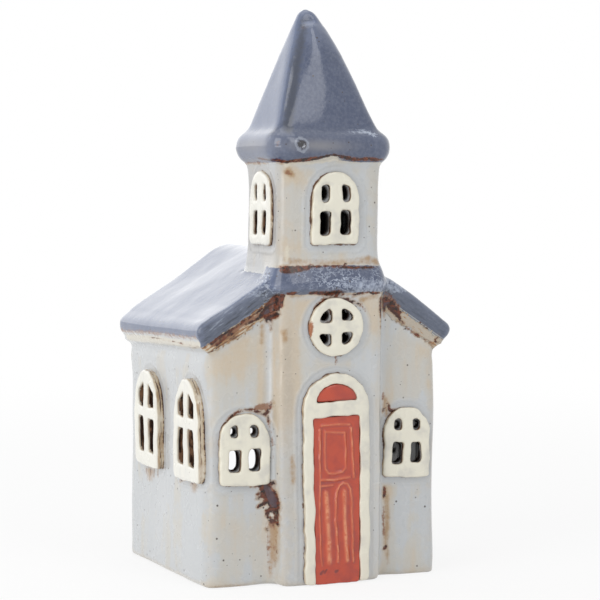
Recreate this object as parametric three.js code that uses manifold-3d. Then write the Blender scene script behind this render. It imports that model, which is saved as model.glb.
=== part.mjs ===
// A hand-built pottery church that holds a tealight: slab walls on a floor slab, a pitched roof, a bell
// chamber and spire over a projecting door bay, applied windows and door, and the tealight inside.
// Millimetres, +Z up, the door faces -Y, the tealight goes in through the arch at the back.
import * as THREE from "three";
import { mergeVertices } from "three/addons/utils/BufferGeometryUtils.js";
import Module from "manifold-3d";

const wasm = await Module();
wasm.setup();

// Driving dimensions of the nave: the box of walls under the pitched roof
const naveWidth = 99;
const naveDepth = 96;
const wallThickness = 5;
const naveCornerRadius = 4.5;
const innerCornerRadius = 1.5;
const floorThickness = 5;
const cornerReturn = 6; // how far the end walls turn the corner onto the sides

// The bay that carries the door and the tower
const bayWidth = 45.6;
const bayProjection = 7;
const bayRise = 15.8; // its top, above the roof's upper edge at the eave
const bayCornerRadius = 3.5;
const bayRootRadius = 1.2;

// The nave roof: two slabs that meet at the ridge
const roofPitch = THREE.MathUtils.degToRad(33.6);
const eaveHeight = 101.2; // upper edge of the slab at the eave
const roofThickness = 7;
const sideOverhang = 7.1;
const frontOverhang = 2.2;
const backOverhang = 0;
const ridgeRadius = 24;
const eaveRadius = 3;
const vergeEdge = 1.6; // rounding of the slabs' front and back edges
const coveReach = 4.8; // the cove that swells out of the side walls under the eaves
const coveHeight = 5.5;
const vergeStripReach = 1.4; // the flat strip of clay under the front verges
const vergeStripHeight = 5.2;

// The bell chamber, a square tube that stands on the bay and in a notch of the roof
const bellWidth = 43.7;
const bellDepth = 36.4;
const bellSetback = 2; // behind the front face of the bay
const bellHeight = 42; // above the top of the skirt
const bellCornerRadius = 4;
const bellFlare = 0.9; // how far its walls swell at the top and at the roof
const swellPower = 4; // the higher, the longer the walls stay straight in the middle

// The skirt, a strip of roof round the foot of the bell chamber
const skirtHeight = 9.5; // above the top of the bay
const skirtOverhang = 2; // beyond the face of the bay
const skirtLip = 3; // height of its upright outer edge
const skirtFoot = { inset: 0.5, rise: 1 }; // softened lower edge of the lip
const skirtShoulder = { inset: 0.7, rise: 1.4 }; // softened upper edge of the lip
const skirtTopEdge = 0.6; // thickness where the skirt ends against the bell chamber

// The spire: a fat rolled eave under a leaning pyramid with a rounded tip
const spireHeight = 61.5; // above the top of the bell chamber
const rollBulge = 4.8; // beyond the walls of the bell chamber
const rollHeight = 12.8;
const rollCover = 0.8; // how far the roll hangs below the top of the bell chamber
const spireFoot = 0.2; // where the slope starts, inside the walls of the bell chamber
const tipRadius = 4.4;
const tipHeight = 5;
const spireCornerRadius = 3.2;
const spireWall = 4.5;
const spireLean = -3.1; // the tip stands this far to the left of the tower's middle

// Applied windows: arched plates with four panes cut through plate and wall. The panes share what height
// the rails and the transom leave; lowerShare is the lower panes' part of it.
const frontWindow = {
  width: 21, height: 28.6, rise: 11, relief: 2.2,
  border: 3.9, footRail: 5.6, headRail: 3.9, transom: 4.6, lowerShare: 0.62, mullion: 3.4, upperInset: 0.8,
};
const sideWindow = {
  width: 28, height: 40.6, rise: 18, relief: 3.6,
  border: 4.4, footRail: 5.8, headRail: 4, transom: 4.2, lowerShare: 0.57, mullion: 4.6, upperInset: 0,
};
const bellWindow = {
  width: 20.6, height: 29.2, rise: 11, relief: 2.2,
  border: 3.6, footRail: 3.8, headRail: 4, transom: 3.6, lowerShare: 0.56, mullion: 4.4, upperInset: 0.5,
};
const frontWindowSill = 40.3;
const frontWindowMargin = 0.5; // between the fillet beside the bay and the window
const sideWindowHeadroom = 7.02; // between the cove under the eaves and the side windows
const sideWindowPitchShare = 0.5; // of the nave's depth, between the two windows of one side
const sideWindowOffsetShare = { left: -0.0625, right: 0.02 }; // share of the depth, from a side's middle
const rightWindowShift = 1.1; // the right front window stands this much further out than the left one
const bellWindowForward = 1.2; // the side windows of the bell chamber, forward of its middle
const bellWindowRise = 9; // from the top of the skirt to the foot of the windows
const roundWindow = { radius: 11.7, relief: 2.2, bar: 4.6, rim: 3.3, drop: 14.2 }; // drop: middle to bay top
const facadeShift = 1.5; // door and windows of the tower stand this far right of its middle
const paneCornerRadius = 1.1;
const paneShoulder = 2.4; // least height of an upper pane's outer side, in corner radii
const plateEdge = 0.7; // softened edge of every applied plate

// The door: a white arched surround with a transom, a red fanlight and a red panelled leaf
const surroundWidth = 28.8;
const fanlightHeight = 6.9; // at its crown, above the transom
const surroundRise = 14;
const surroundRelief = 2.4;
const surroundBand = 4.3;
const doorFoot = 0.5; // clear of the table
const leafTop = 67.2;
const transomHeight = 6;
const fanlightMargin = 1.2; // the band is this much wider beside the fanlight than beside the leaf
const leafRelief = 1.5;
const panelMargin = 2.6;
const panelRidgeWidth = 1.1;
const panelRidgeHeight = 0.7;
const panelCornerRadius = 1;
const panelInnerRadius = 0.4;
const kickBoard = 1.5; // extra margin below the lower panels
const lowerPanelTop = 40.5;
const upperPanelFoot = 43.6;

// The opening at the back
const rearArchClearance = 2.1; // on each side of the tealight's rim
const rearArchHeight = 66; // above the floor
const rearArchRise = 20;

// The tealight
const cupDiameter = 38;
const cupHeight = 16;
const cupGauge = 0.5;
const cupRim = 0.9; // how far the rolled rim stands out
const cupFootRadius = 1;
const cupInnerRadius = 0.6;
const waxHeight = 13;
const waxDish = 0.8; // how far the wax dips to the wick
const clipDiameter = 12;
const clipGauge = 0.5;
const clipCollarDiameter = 3.4;
const clipCollarHeight = 3;
const wickDiameter = 1.8;
const wickProud = 8; // above the wax
const wickBend = 1.6; // how far the burnt end leans over
const wickBendStart = 0.2; // share of the bend reached half way up

// Clearances
const slipGap = 0.3; // the line of slip between luted pieces
const runningGap = 0.3; // under and round the loose tealight

// Fineness of the round work
const cornerSegments = 3;
const archSegments = 10;
const ridgeSegments = 10;
const roundSegments = 32;
const coveSegments = 5;
const swellSegments = 8;
const wickSteps = 14;
const wickSegments = 5;
const fullRound = 0.999; // largest share of a half size that a corner may round off

// Sizes that follow from the driving dimensions
const halfNave = naveWidth / 2;
const halfBay = bayWidth / 2;
const halfBell = bellWidth / 2;
const eaveReach = halfNave + sideOverhang;
const slope = Math.tan(roofPitch);
const roofDrop = roofThickness / Math.cos(roofPitch); // thickness of the roof measured upright
const ridgeHeight = eaveHeight + eaveReach * slope;
const bayFace = -bayProjection;
const bayTop = eaveHeight + bayRise;
const skirtTop = bayTop + skirtHeight;
const bellTop = skirtTop + bellHeight;
const apexHeight = bellTop + spireHeight;
const bellFront = bayFace + bellSetback;
const bellBack = bellFront + bellDepth;
const bellMiddle = (bellFront + bellBack) / 2;
const bellFoot = bayTop + slipGap;
const wallFoot = floorThickness + slipGap;
const frontWindowSpread = halfBay + bayRootRadius + frontWindowMargin + frontWindow.width / 2;
const bellWindowSill = skirtTop + bellWindowRise;
const roundWindowHeight = bayTop - roundWindow.drop;
const surroundHeight = leafTop + transomHeight + fanlightHeight + surroundBand;
const rearArchWidth = cupDiameter + 2 * (cupRim + rearArchClearance);
const farAway = 400;

// A geometry as a manifold solid, with its shared vertices merged.
function solid(geometry) {
  const bare = geometry.index ? geometry.toNonIndexed() : geometry.clone();
  bare.deleteAttribute("normal");
  bare.deleteAttribute("uv");
  const merged = mergeVertices(bare, 1e-4);
  const mesh = new wasm.Mesh({
    numProp: 3,
    vertProperties: new Float32Array(merged.attributes.position.array),
    triVerts: new Uint32Array(merged.index.array),
  });
  return new wasm.Manifold(mesh);
}

// A manifold solid as a geometry.
function geometryOf(body) {
  const mesh = body.getMesh();
  const geometry = new THREE.BufferGeometry();
  geometry.setAttribute("position", new THREE.BufferAttribute(new Float32Array(mesh.vertProperties), 3));
  geometry.setIndex(new THREE.BufferAttribute(new Uint32Array(mesh.triVerts), 1));
  const faceted = geometry.toNonIndexed();
  faceted.computeVertexNormals();
  return faceted;
}

// A solid box between two corners.
function block(low, high) {
  const size = new THREE.Vector3().subVectors(high, low);
  const box = new THREE.BoxGeometry(size.x, size.y, size.z);
  box.translate(low.x + size.x / 2, low.y + size.y / 2, low.z + size.z / 2);
  return solid(box);
}

const corner = (x, y, z) => new THREE.Vector3(x, y, z);

// A closed outline through corner points [x, y, radius], each rounded by an arc of its radius. A corner may
// name its own number of segments.
function roundedOutline(points) {
  const count = points.length;
  const outline = [];
  points.forEach(([x, y, radius, segments = cornerSegments], i) => {
    const here = new THREE.Vector2(x, y);
    if (radius === 0) {
      outline.push(here);
      return;
    }
    const [lastX, lastY] = points[(i + count - 1) % count];
    const [nextX, nextY] = points[(i + 1) % count];
    const before = new THREE.Vector2(lastX, lastY).sub(here).normalize();
    const after = new THREE.Vector2(nextX, nextY).sub(here).normalize();
    const half = Math.acos(THREE.MathUtils.clamp(before.dot(after), -1, 1)) / 2;
    const reach = radius / Math.tan(half);
    const middle = before.clone().add(after).normalize().multiplyScalar(radius / Math.sin(half)).add(here);
    const start = before.clone().multiplyScalar(reach).add(here).sub(middle);
    const end = after.clone().multiplyScalar(reach).add(here).sub(middle);
    const turn = Math.atan2(start.cross(end), start.dot(end));
    for (let k = 0; k <= segments; k++) {
      const spoke = start.clone().rotateAround(new THREE.Vector2(), (turn * k) / segments);
      outline.push(spoke.add(middle));
    }
  });
  return outline;
}

// Extrudes a shape drawn in X and Y upwards, from one height to another.
function extrudeUp(shape, low, high) {
  const geometry = new THREE.ExtrudeGeometry(shape, { depth: high - low, bevelEnabled: false });
  return solid(geometry.translate(0, 0, low));
}

// Extrudes a shape drawn in X and Z (as its x and y) along +Y, with an optional rounded edge at both ends.
function extrudeBack(shape, front, back, edge = 0) {
  const geometry = new THREE.ExtrudeGeometry(shape, {
    depth: back - front - 2 * edge,
    bevelEnabled: edge > 0,
    bevelThickness: edge,
    bevelSize: edge,
    bevelOffset: -edge,
    bevelSegments: 2,
  });
  geometry.rotateX(Math.PI / 2);
  return solid(geometry.translate(0, back - edge, 0));
}

// The plan of the walls: the nave with the bay in front. Inset moves it inwards.
function planOutline(inset, naveRadius, bayRadius, rootRadius) {
  const side = halfNave - inset;
  const bay = halfBay - inset;
  const front = inset;
  const back = naveDepth - inset;
  return roundedOutline([
    [-bay, bayFace + inset, bayRadius],
    [bay, bayFace + inset, bayRadius],
    [bay, front, rootRadius],
    [side, front, naveRadius],
    [side, back, naveRadius],
    [-side, back, naveRadius],
    [-side, front, naveRadius],
    [-bay, front, rootRadius],
  ]);
}

const outerPlan = () => new THREE.Shape(planOutline(0, naveCornerRadius, bayCornerRadius, bayRootRadius));
const innerPlan = () =>
  new THREE.Path(planOutline(wallThickness, innerCornerRadius, innerCornerRadius, innerCornerRadius));

// Height of the underside of the roof at a distance from the middle.
const soffit = (x) => ridgeHeight - roofDrop - Math.abs(x) * slope;

// Everything under the roof, lowered by a gap.
function underRoof(gap) {
  const outline = roundedOutline([
    [-farAway, -farAway, 0],
    [farAway, -farAway, 0],
    [farAway, soffit(farAway) - gap, 0],
    [0, soffit(0) - gap, ridgeRadius - roofThickness, ridgeSegments],
    [-farAway, soffit(farAway) - gap, 0],
  ]);
  return extrudeBack(new THREE.Shape(outline), -farAway, farAway);
}

const coveTop = soffit(halfNave + coveReach);
const sideWindowSill = coveTop - coveHeight - sideWindowHeadroom - sideWindow.height;

// The curve of the cove under the eaves, from the wall outwards: [distance out from the wall, height].
const covePoints = () =>
  Array.from({ length: coveSegments + 1 }, (_, k) => {
    const angle = (Math.PI / 2) * (k / coveSegments);
    return [coveReach * (1 - Math.cos(angle)), coveTop - coveHeight * (1 - Math.sin(angle))];
  });

// The cove under the eaves: the side walls curve outwards to meet the slabs, round the corners too.
function eaveCove() {
  const middle = naveDepth / 2;
  const above = coveTop + coveHeight;
  const rings = [...covePoints(), [coveReach, above]].map(([out, z]) =>
    ring(halfNave + out, middle + out, naveCornerRadius + out, 0, middle, z),
  );
  const body = loft([[corner(0, middle, coveTop - coveHeight)], ...rings, [corner(0, middle, above)]], false);
  return body.intersect(block(corner(-farAway, 0, -farAway), corner(farAway, naveDepth, farAway)));
}

// The flat strip of clay under the front verges. It follows the pitch and ends in the curve of the coves.
function vergeStrip() {
  const band = underRoof(slipGap).subtract(underRoof(vergeStripHeight));
  const right = [[0, -farAway], ...covePoints(), [coveReach, farAway]];
  const outline = [
    ...right.map(([out, z]) => new THREE.Vector2(halfNave + out, z)),
    ...right.reverse().map(([out, z]) => new THREE.Vector2(-halfNave - out, z)),
  ];
  return band.intersect(extrudeBack(new THREE.Shape(outline), -vergeStripReach, wallThickness));
}

// The walls in one piece, standing on the floor and trimmed under the roof.
function wallBlank() {
  const plan = outerPlan();
  plan.holes.push(innerPlan());
  const cavity = extrudeUp(new THREE.Shape(innerPlan().getPoints()), -farAway, farAway);
  const shell = extrudeUp(plan, wallFoot, ridgeHeight);
  return shell.add(eaveCove()).add(vergeStrip()).intersect(underRoof(slipGap)).subtract(cavity);
}

// An arched outline standing on y = 0: upright sides, a half-ellipse of the given rise on top.
function archPoints(width, height, rise, footRadius) {
  const half = width / 2;
  const foot = roundedOutline([
    [-half, 0, footRadius],
    [half, 0, footRadius],
    [half, height, 0],
    [-half, height, 0],
  ]).slice(0, -2);
  const head = [];
  for (let k = 0; k <= archSegments; k++) {
    const angle = (Math.PI * k) / archSegments;
    head.push(new THREE.Vector2(half * Math.cos(angle), height - rise + rise * Math.sin(angle)));
  }
  return [...foot, ...head];
}

// Height of an arch's edge at a distance from its middle.
function archHeight(x, width, height, rise) {
  return height - rise + rise * Math.sqrt(Math.max(0, 1 - (2 * x / width) ** 2));
}

// The four panes of an arched window, standing on y = 0. The upper two follow the arch.
function archedPanes(w) {
  const near = w.mullion / 2;
  const far = w.width / 2 - w.border;
  const upperNear = near + w.upperInset;
  const upperFar = far - w.upperInset;
  const under = (x, rail) => archHeight(x, w.width, w.height, w.rise) - rail;
  const glazed = under(upperNear, w.headRail) - w.footRail - w.transom;
  const lowerTop = w.footRail + w.lowerShare * glazed;
  const upperFoot = lowerTop + w.transom;
  const shoulder = Math.max(under(upperFar, w.border), upperFoot + paneShoulder * paneCornerRadius);
  const crown = Math.max(under(upperNear, w.headRail), shoulder + paneCornerRadius);
  const lower = (side) =>
    roundedOutline([
      [side * near, w.footRail, paneCornerRadius],
      [side * far, w.footRail, paneCornerRadius],
      [side * far, lowerTop, paneCornerRadius],
      [side * near, lowerTop, paneCornerRadius],
    ]);
  const upper = (side) =>
    roundedOutline([
      [side * upperNear, upperFoot, paneCornerRadius],
      [side * upperFar, upperFoot, paneCornerRadius],
      [side * upperFar, shoulder, paneCornerRadius],
      [side * upperNear, crown, paneCornerRadius],
    ]);
  return [lower(-1), lower(1), upper(-1), upper(1)];
}

// The four panes of the round window, about its middle: quarters cut short by a cross of bars.
function quarterPanes() {
  const near = roundWindow.bar / 2;
  const reach = roundWindow.radius - roundWindow.rim;
  const bend = reach * Math.SQRT1_2;
  return [0, 1, 2, 3].map((quarter) =>
    roundedOutline([
      [near, near, paneCornerRadius],
      [reach * Math.cos(Math.asin(near / reach)), near, paneCornerRadius],
      [bend, bend, paneCornerRadius],
      [near, reach * Math.cos(Math.asin(near / reach)), paneCornerRadius],
    ]).map((p) => p.rotateAround(new THREE.Vector2(), (quarter * Math.PI) / 2)),
  );
}

// Places a solid drawn standing against the plane y = 0, its face towards -Y, on a wall. Side is "front",
// "left" or "right"; face is the wall's plane and across the place along it, both in the nave's frame.
function onWall(body, side, face, across, height) {
  const turn = { front: 0, left: -90, right: 90 }[side];
  const turned = body.rotate([0, 0, turn]);
  const place = {
    front: [across, face, height],
    left: [face, across, height],
    right: [face, across, height],
  }[side];
  return turned.translate(place);
}

// A plate applied to a wall: an outline with panes, its front edges softened, a slip line off the wall.
function plate(points, panes, relief) {
  const shape = new THREE.Shape(points);
  shape.holes = panes.map((pane) => new THREE.Path(pane));
  const body = extrudeBack(shape, -relief, relief, plateEdge);
  const half = block(corner(-farAway, -farAway, -farAway), corner(farAway, -slipGap, farAway));
  return body.intersect(half);
}

// The holes that the panes leave in the wall behind a plate.
function paneCutters(panes) {
  const through = wallThickness + bellFlare + slipGap;
  const front = -2 * bellFlare;
  return panes
    .map((pane) => extrudeBack(new THREE.Shape(pane), front, through))
    .reduce((sum, piece) => sum.add(piece));
}

function archedPlate(w) {
  return plate(archPoints(w.width, w.height, w.rise, paneCornerRadius), archedPanes(w), w.relief);
}

function roundPlate() {
  const rim = new THREE.Path().absarc(0, 0, roundWindow.radius, 0, 2 * Math.PI);
  return plate(rim.getPoints(roundSegments / 2).slice(0, -1), quarterPanes(), roundWindow.relief);
}

// Where a side window stands along the nave; end is -1 for the front one and 1 for the back one.
const sideWindowMiddle = (side, end) =>
  naveDepth * ((1 + end * sideWindowPitchShare) / 2 + sideWindowOffsetShare[side]);

// Every window: its name, plate, panes and place.
const windowPlaces = [
  ...[-1, 1].map((side) => ({
    name: side < 0 ? "front_window_left" : "front_window_right",
    plate: archedPlate(frontWindow),
    panes: archedPanes(frontWindow),
    place: ["front", 0, side * frontWindowSpread + (side < 0 ? 0 : rightWindowShift), frontWindowSill],
  })),
  ...["left", "right"].flatMap((side) =>
    [-1, 1].map((end) => ({
      name: `${side}_window_${end < 0 ? "front" : "back"}`,
      plate: archedPlate(sideWindow),
      panes: archedPanes(sideWindow),
      place: [side, (side === "left" ? -1 : 1) * halfNave, sideWindowMiddle(side, end), sideWindowSill],
    })),
  ),
  {
    name: "round_window",
    plate: roundPlate(),
    panes: quarterPanes(),
    place: ["front", bayFace, facadeShift, roundWindowHeight],
  },
  {
    name: "bell_window_front",
    plate: archedPlate(bellWindow),
    panes: archedPanes(bellWindow),
    place: ["front", bellFront, facadeShift, bellWindowSill],
  },
  ...["left", "right"].map((side) => ({
    name: `bell_window_${side}`,
    plate: archedPlate(bellWindow),
    panes: archedPanes(bellWindow),
    place: [side, (side === "left" ? -1 : 1) * halfBell, bellMiddle - bellWindowForward, bellWindowSill],
  })),
];

// All window panes as one cutter.
const allPanes = () =>
  windowPlaces.map((w) => onWall(paneCutters(w.panes), ...w.place)).reduce((sum, piece) => sum.add(piece));

// The arch at the back, cut down to the floor so that a tealight slides straight in.
function rearArch() {
  const points = archPoints(rearArchWidth, floorThickness + rearArchHeight, rearArchRise, 0);
  return extrudeBack(new THREE.Shape(points), naveDepth - 2 * wallThickness, naveDepth + wallThickness);
}

// The walls cut apart at their seams.
function walls() {
  const whole = wallBlank().subtract(allPanes()).subtract(rearArch());
  const g = slipGap / 2;
  const region = (x0, x1, y0, y1, top = farAway) =>
    whole.intersect(block(corner(x0, y0, -farAway), corner(x1, y1, top)));
  const backSeam = naveDepth - cornerReturn;
  return {
    left_wall: region(-farAway, 0, cornerReturn + g, backSeam - g),
    right_wall: region(0, farAway, cornerReturn + g, backSeam - g),
    back_wall: region(-farAway, farAway, backSeam + g, farAway),
    front_left_wall: region(-farAway, -halfBay - g, -farAway, cornerReturn - g),
    front_right_wall: region(halfBay + g, farAway, -farAway, cornerReturn - g),
    tower_bay: region(-halfBay + g, halfBay - g, -farAway, cornerReturn - g, bayTop),
  };
}

const floorSlab = () => extrudeUp(outerPlan(), 0, floorThickness);

// The tower's room in the roof: the bell chamber, and the wider bay below and in front of it.
function towerNotch() {
  const bell = block(
    corner(-halfBell - bellFlare - slipGap, -farAway, -farAway),
    corner(halfBell + bellFlare + slipGap, bellBack + bellFlare + slipGap, farAway),
  );
  const bay = block(
    corner(-halfBay - slipGap, -farAway, -farAway),
    corner(halfBay + slipGap, cornerReturn, farAway),
  );
  return bell.add(bay);
}

// The roof's cross-section, in X and Z: a chevron with a round ridge and round eaves, grown by a gap.
function roofSection(grow) {
  const lift = grow / Math.cos(roofPitch);
  const reach = eaveReach + grow;
  const underReach = reach - roofThickness * Math.sin(roofPitch);
  const top = (x) => ridgeHeight + lift - Math.abs(x) * slope;
  const under = (x) => soffit(x) - lift;
  return new THREE.Shape(
    roundedOutline([
      [0, top(0), ridgeRadius, ridgeSegments],
      [-reach, top(reach), eaveRadius],
      [-underReach, under(underReach), eaveRadius],
      [0, under(0), ridgeRadius - roofThickness, ridgeSegments],
      [underReach, under(underReach), eaveRadius],
      [reach, top(reach), eaveRadius],
    ]),
  );
}

// Both slabs in one piece, before the tower's notch, grown by a gap.
function roofBlank(grow = 0) {
  return extrudeBack(roofSection(grow), -frontOverhang - grow, naveDepth + backOverhang + grow, vergeEdge);
}

// One slab of the roof; side is -1 for the left one and 1 for the right one.
function roofSlab(side) {
  const half = block(corner(slipGap / 2, -farAway, -farAway), corner(farAway, farAway, farAway));
  return roofBlank().subtract(towerNotch()).intersect(half.rotate([0, 0, side < 0 ? 180 : 0]));
}

// Points of a rounded rectangle, half sizes x and y, about a middle, at a height.
function ring(x, y, radius, middleX, middleY, z) {
  const r = Math.min(radius, x * fullRound, y * fullRound);
  return roundedOutline([
    [-x, -y, r],
    [x, -y, r],
    [x, y, r],
    [-x, y, r],
  ]).map((p) => corner(p.x + middleX, p.y + middleY, z));
}

// Joins rings of equal count into a closed surface. Closed joins the last ring to the first;
// otherwise the first and last entries are single points.
function loft(rings, closed) {
  const positions = [];
  const triangle = (a, b, c) => positions.push(...a.toArray(), ...b.toArray(), ...c.toArray());
  const pairs = closed ? rings.length : rings.length - 1;
  for (let i = 0; i < pairs; i++) {
    const low = rings[i];
    const high = rings[(i + 1) % rings.length];
    const count = Math.max(low.length, high.length);
    for (let k = 0; k < count; k++) {
      const next = (k + 1) % count;
      if (low.length === 1) triangle(low[0], high[next], high[k]);
      else if (high.length === 1) triangle(low[k], low[next], high[0]);
      else {
        triangle(low[k], low[next], high[next]);
        triangle(low[k], high[next], high[k]);
      }
    }
  }
  const geometry = new THREE.BufferGeometry();
  geometry.setAttribute("position", new THREE.Float32BufferAttribute(positions, 3));
  return solid(geometry);
}

// A ring round the bell chamber, offset outwards from its faces.
const bellRing = (offset, z) =>
  ring(
    halfBell + offset,
    bellDepth / 2 + offset,
    Math.max(bellCornerRadius + offset, innerCornerRadius),
    0,
    bellMiddle,
    z,
  );

// The outside of the bell chamber, grown by a gap: straight in the middle, swelling towards roof and spire.
function bellOutside(grow) {
  const swell = (z) => bellFlare * Math.abs((2 * z - skirtTop - bellTop) / bellHeight) ** swellPower;
  const rings = [[corner(0, bellMiddle, bellFoot)], bellRing(bellFlare + grow, bellFoot)];
  for (let k = 0; k <= swellSegments; k++) {
    const z = skirtTop + (bellHeight * k) / swellSegments;
    rings.push(bellRing(swell(z) + grow, z));
  }
  rings.push([corner(0, bellMiddle, bellTop)]);
  return loft(rings, false);
}

// The bell chamber: four walls in one tube, open above and below, with the window panes cut through.
function bellChamber() {
  const room = extrudeUp(new THREE.Shape(bellRing(-wallThickness, 0)), -farAway, farAway);
  return bellOutside(0).subtract(room).subtract(allPanes());
}

// A window plate in its place, its back cut to the wall behind it.
function seatedWindow(w) {
  return onWall(w.plate, ...w.place).subtract(bellOutside(slipGap));
}

// The skirt: a sloping strip round three sides of the bell chamber, over the top edge of the bay.
function towerSkirt() {
  const inner = bellFlare + slipGap;
  const outer = bellSetback + skirtOverhang;
  const lip = bayTop + skirtLip;
  const strip = loft(
    [
      bellRing(outer - skirtFoot.inset, bellFoot),
      bellRing(outer, bellFoot + skirtFoot.rise),
      bellRing(outer, lip),
      bellRing(outer - skirtShoulder.inset, lip + skirtShoulder.rise),
      bellRing(inner + skirtTopEdge, skirtTop),
      bellRing(inner, skirtTop),
      bellRing(inner, bellFoot),
    ],
    true,
  );
  const front = block(corner(-farAway, -farAway, -farAway), corner(farAway, cornerReturn - slipGap, farAway));
  return strip.intersect(front).subtract(roofBlank(slipGap));
}

// The spire: rolled eave, leaning pyramid, rounded tip, and a hollow of even wall inside.
function spire() {
  const seat = bellTop + slipGap;
  const rollMiddle = bellTop - rollCover + rollHeight / 2;
  const slopeFoot = rollMiddle + rollHeight / 2;
  const tipFoot = apexHeight - tipHeight;
  const lean = (z) => spireLean * Math.max(0, (z - slopeFoot) / (apexHeight - slopeFoot));
  const halfDepth = bellDepth / 2;
  const rollSteps = { below: 3, above: 5 };
  const rings = [];
  const startAngle = Math.asin((seat - rollMiddle) / (rollHeight / 2));
  for (let k = -rollSteps.below; k <= rollSteps.above; k++) {
    const angle = k < 0 ? (-startAngle * k) / rollSteps.below : ((Math.PI / 2) * k) / rollSteps.above;
    const out = (rollBulge + spireFoot) * Math.cos(angle) - spireFoot;
    const z = rollMiddle + (rollHeight / 2) * Math.sin(angle);
    rings.push(ring(halfBell + out, halfDepth + out, spireCornerRadius + out, 0, bellMiddle, z));
  }
  const slopeSteps = 5;
  for (let k = 1; k <= slopeSteps; k++) {
    const rise = (from, to) => THREE.MathUtils.lerp(from, to, k / slopeSteps);
    const z = rise(slopeFoot, tipFoot);
    const radius = rise(spireCornerRadius, tipRadius);
    const x = rise(halfBell - spireFoot, tipRadius);
    const y = rise(halfDepth - spireFoot, tipRadius);
    rings.push(ring(x, y, radius, lean(z), bellMiddle, z));
  }
  const tipSteps = 4;
  for (let k = 1; k < tipSteps; k++) {
    const angle = (Math.PI / 2) * (k / tipSteps);
    const r = tipRadius * Math.cos(angle);
    const z = tipFoot + tipHeight * Math.sin(angle);
    rings.push(ring(r, r, r, lean(z), bellMiddle, z));
  }
  rings.push([corner(spireLean, bellMiddle, apexHeight)]);
  const hollowTop = tipFoot - 2 * spireWall;
  const inside = [
    [corner(lean(hollowTop), bellMiddle, hollowTop)],
    ring(
      halfBell - spireFoot - spireWall,
      halfDepth - spireFoot - spireWall,
      innerCornerRadius,
      0,
      bellMiddle,
      slopeFoot - spireWall,
    ),
    ring(halfBell - wallThickness, halfDepth - wallThickness, innerCornerRadius, 0, bellMiddle, seat),
  ];
  return loft([...inside, ...rings], false);
}

// The white surround: an arch band with a transom between fanlight and leaf, open at the foot.
function surroundOutline() {
  return archPoints(surroundWidth, surroundHeight - doorFoot, surroundRise, paneCornerRadius);
}

// The half-moon above the transom, drawn from the surround's foot and shrunk by a gap.
function fanlightOutline(gap) {
  const half = surroundWidth / 2 - surroundBand - fanlightMargin - gap;
  const foot = leafTop + transomHeight - doorFoot + gap;
  const crown = surroundHeight - doorFoot - surroundBand - gap;
  const points = [];
  for (let k = 0; k <= archSegments; k++) {
    const angle = (Math.PI * k) / archSegments;
    points.push(new THREE.Vector2(half * Math.cos(angle), foot + (crown - foot) * Math.sin(angle)));
  }
  return points;
}

// The door's opening below the transom, running out at the foot.
function leafOutline(gap, foot) {
  const half = surroundWidth / 2 - surroundBand - gap;
  return [
    [-half, foot],
    [half, foot],
    [half, leafTop - doorFoot - gap],
    [-half, leafTop - doorFoot - gap],
  ].map(([x, y]) => new THREE.Vector2(x, y));
}

function doorSurround() {
  const blank = plate(surroundOutline(), [fanlightOutline(0)], surroundRelief);
  const opening = extrudeBack(new THREE.Shape(leafOutline(0, -farAway)), -farAway, farAway);
  return onWall(blank.subtract(opening), "front", bayFace, facadeShift, doorFoot);
}

function fanlight() {
  const body = plate(fanlightOutline(slipGap), [], leafRelief + panelRidgeHeight);
  return onWall(body, "front", bayFace, facadeShift, doorFoot);
}

// A raised moulding that follows a rectangle, in the door's own drawing plane.
function ridge(x0, x1, z0, z1) {
  const rectangle = (inset, radius) =>
    roundedOutline([
      [x0 + inset, z0 + inset, radius],
      [x1 - inset, z0 + inset, radius],
      [x1 - inset, z1 - inset, radius],
      [x0 + inset, z1 - inset, radius],
    ]);
  const shape = new THREE.Shape(rectangle(0, panelCornerRadius));
  shape.holes.push(new THREE.Path(rectangle(panelRidgeWidth, panelInnerRadius)));
  return extrudeBack(shape, -leafRelief - panelRidgeHeight, -leafRelief / 2);
}

// The leaf: a flat board with a square panel above and two tall panels below, outlined in raised clay.
function doorLeaf() {
  const half = surroundWidth / 2 - surroundBand - slipGap;
  const board = extrudeBack(new THREE.Shape(leafOutline(slipGap, 0)), -leafRelief, -slipGap);
  const edge = half - panelMargin;
  const top = leafTop - doorFoot - slipGap - panelMargin;
  const foot = panelMargin + kickBoard;
  const meeting = panelRidgeWidth / 2;
  const inset = 2 * panelRidgeWidth;
  const mouldings = [
    ridge(-edge, edge, upperPanelFoot, top),
    ridge(-edge + inset, edge - inset, upperPanelFoot + inset, top - inset),
    ridge(-edge, meeting, foot, lowerPanelTop),
    ridge(-meeting, edge, foot, lowerPanelTop),
  ];
  const leaf = mouldings.reduce((sum, piece) => sum.add(piece), board);
  return onWall(leaf, "front", bayFace, facadeShift, doorFoot);
}

// A turned solid from a profile of [radius, height] points that starts and ends on the axis or closes.
function turned(profile) {
  const geometry = new THREE.LatheGeometry(profile.map(([r, z]) => new THREE.Vector2(r, z)), roundSegments);
  return solid(geometry.rotateX(Math.PI / 2));
}

const cupRadius = cupDiameter / 2;
const cupInside = cupRadius - cupGauge;

// The tealight's pieces, turned about the Z axis with the cup's underside at z = 0.
const tealightCup = () =>
  turned([
    [0, 0],
    [cupRadius - cupFootRadius, 0],
    [cupRadius, cupFootRadius],
    [cupRadius, cupHeight - cupRim],
    [cupRadius + cupRim, cupHeight - cupRim / 2],
    [cupRadius + cupRim, cupHeight],
    [cupInside, cupHeight],
    [cupInside, cupGauge + cupInnerRadius],
    [cupInside - cupInnerRadius, cupGauge],
    [0, cupGauge],
  ]);

const clipSeat = cupGauge + slipGap;
const collarTop = clipSeat + clipGauge + clipCollarHeight;
const waxBore = clipCollarDiameter / 2 + slipGap;
const clipPocket = clipDiameter / 2 + slipGap;
const wickBore = wickDiameter / 2 + slipGap;

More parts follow.
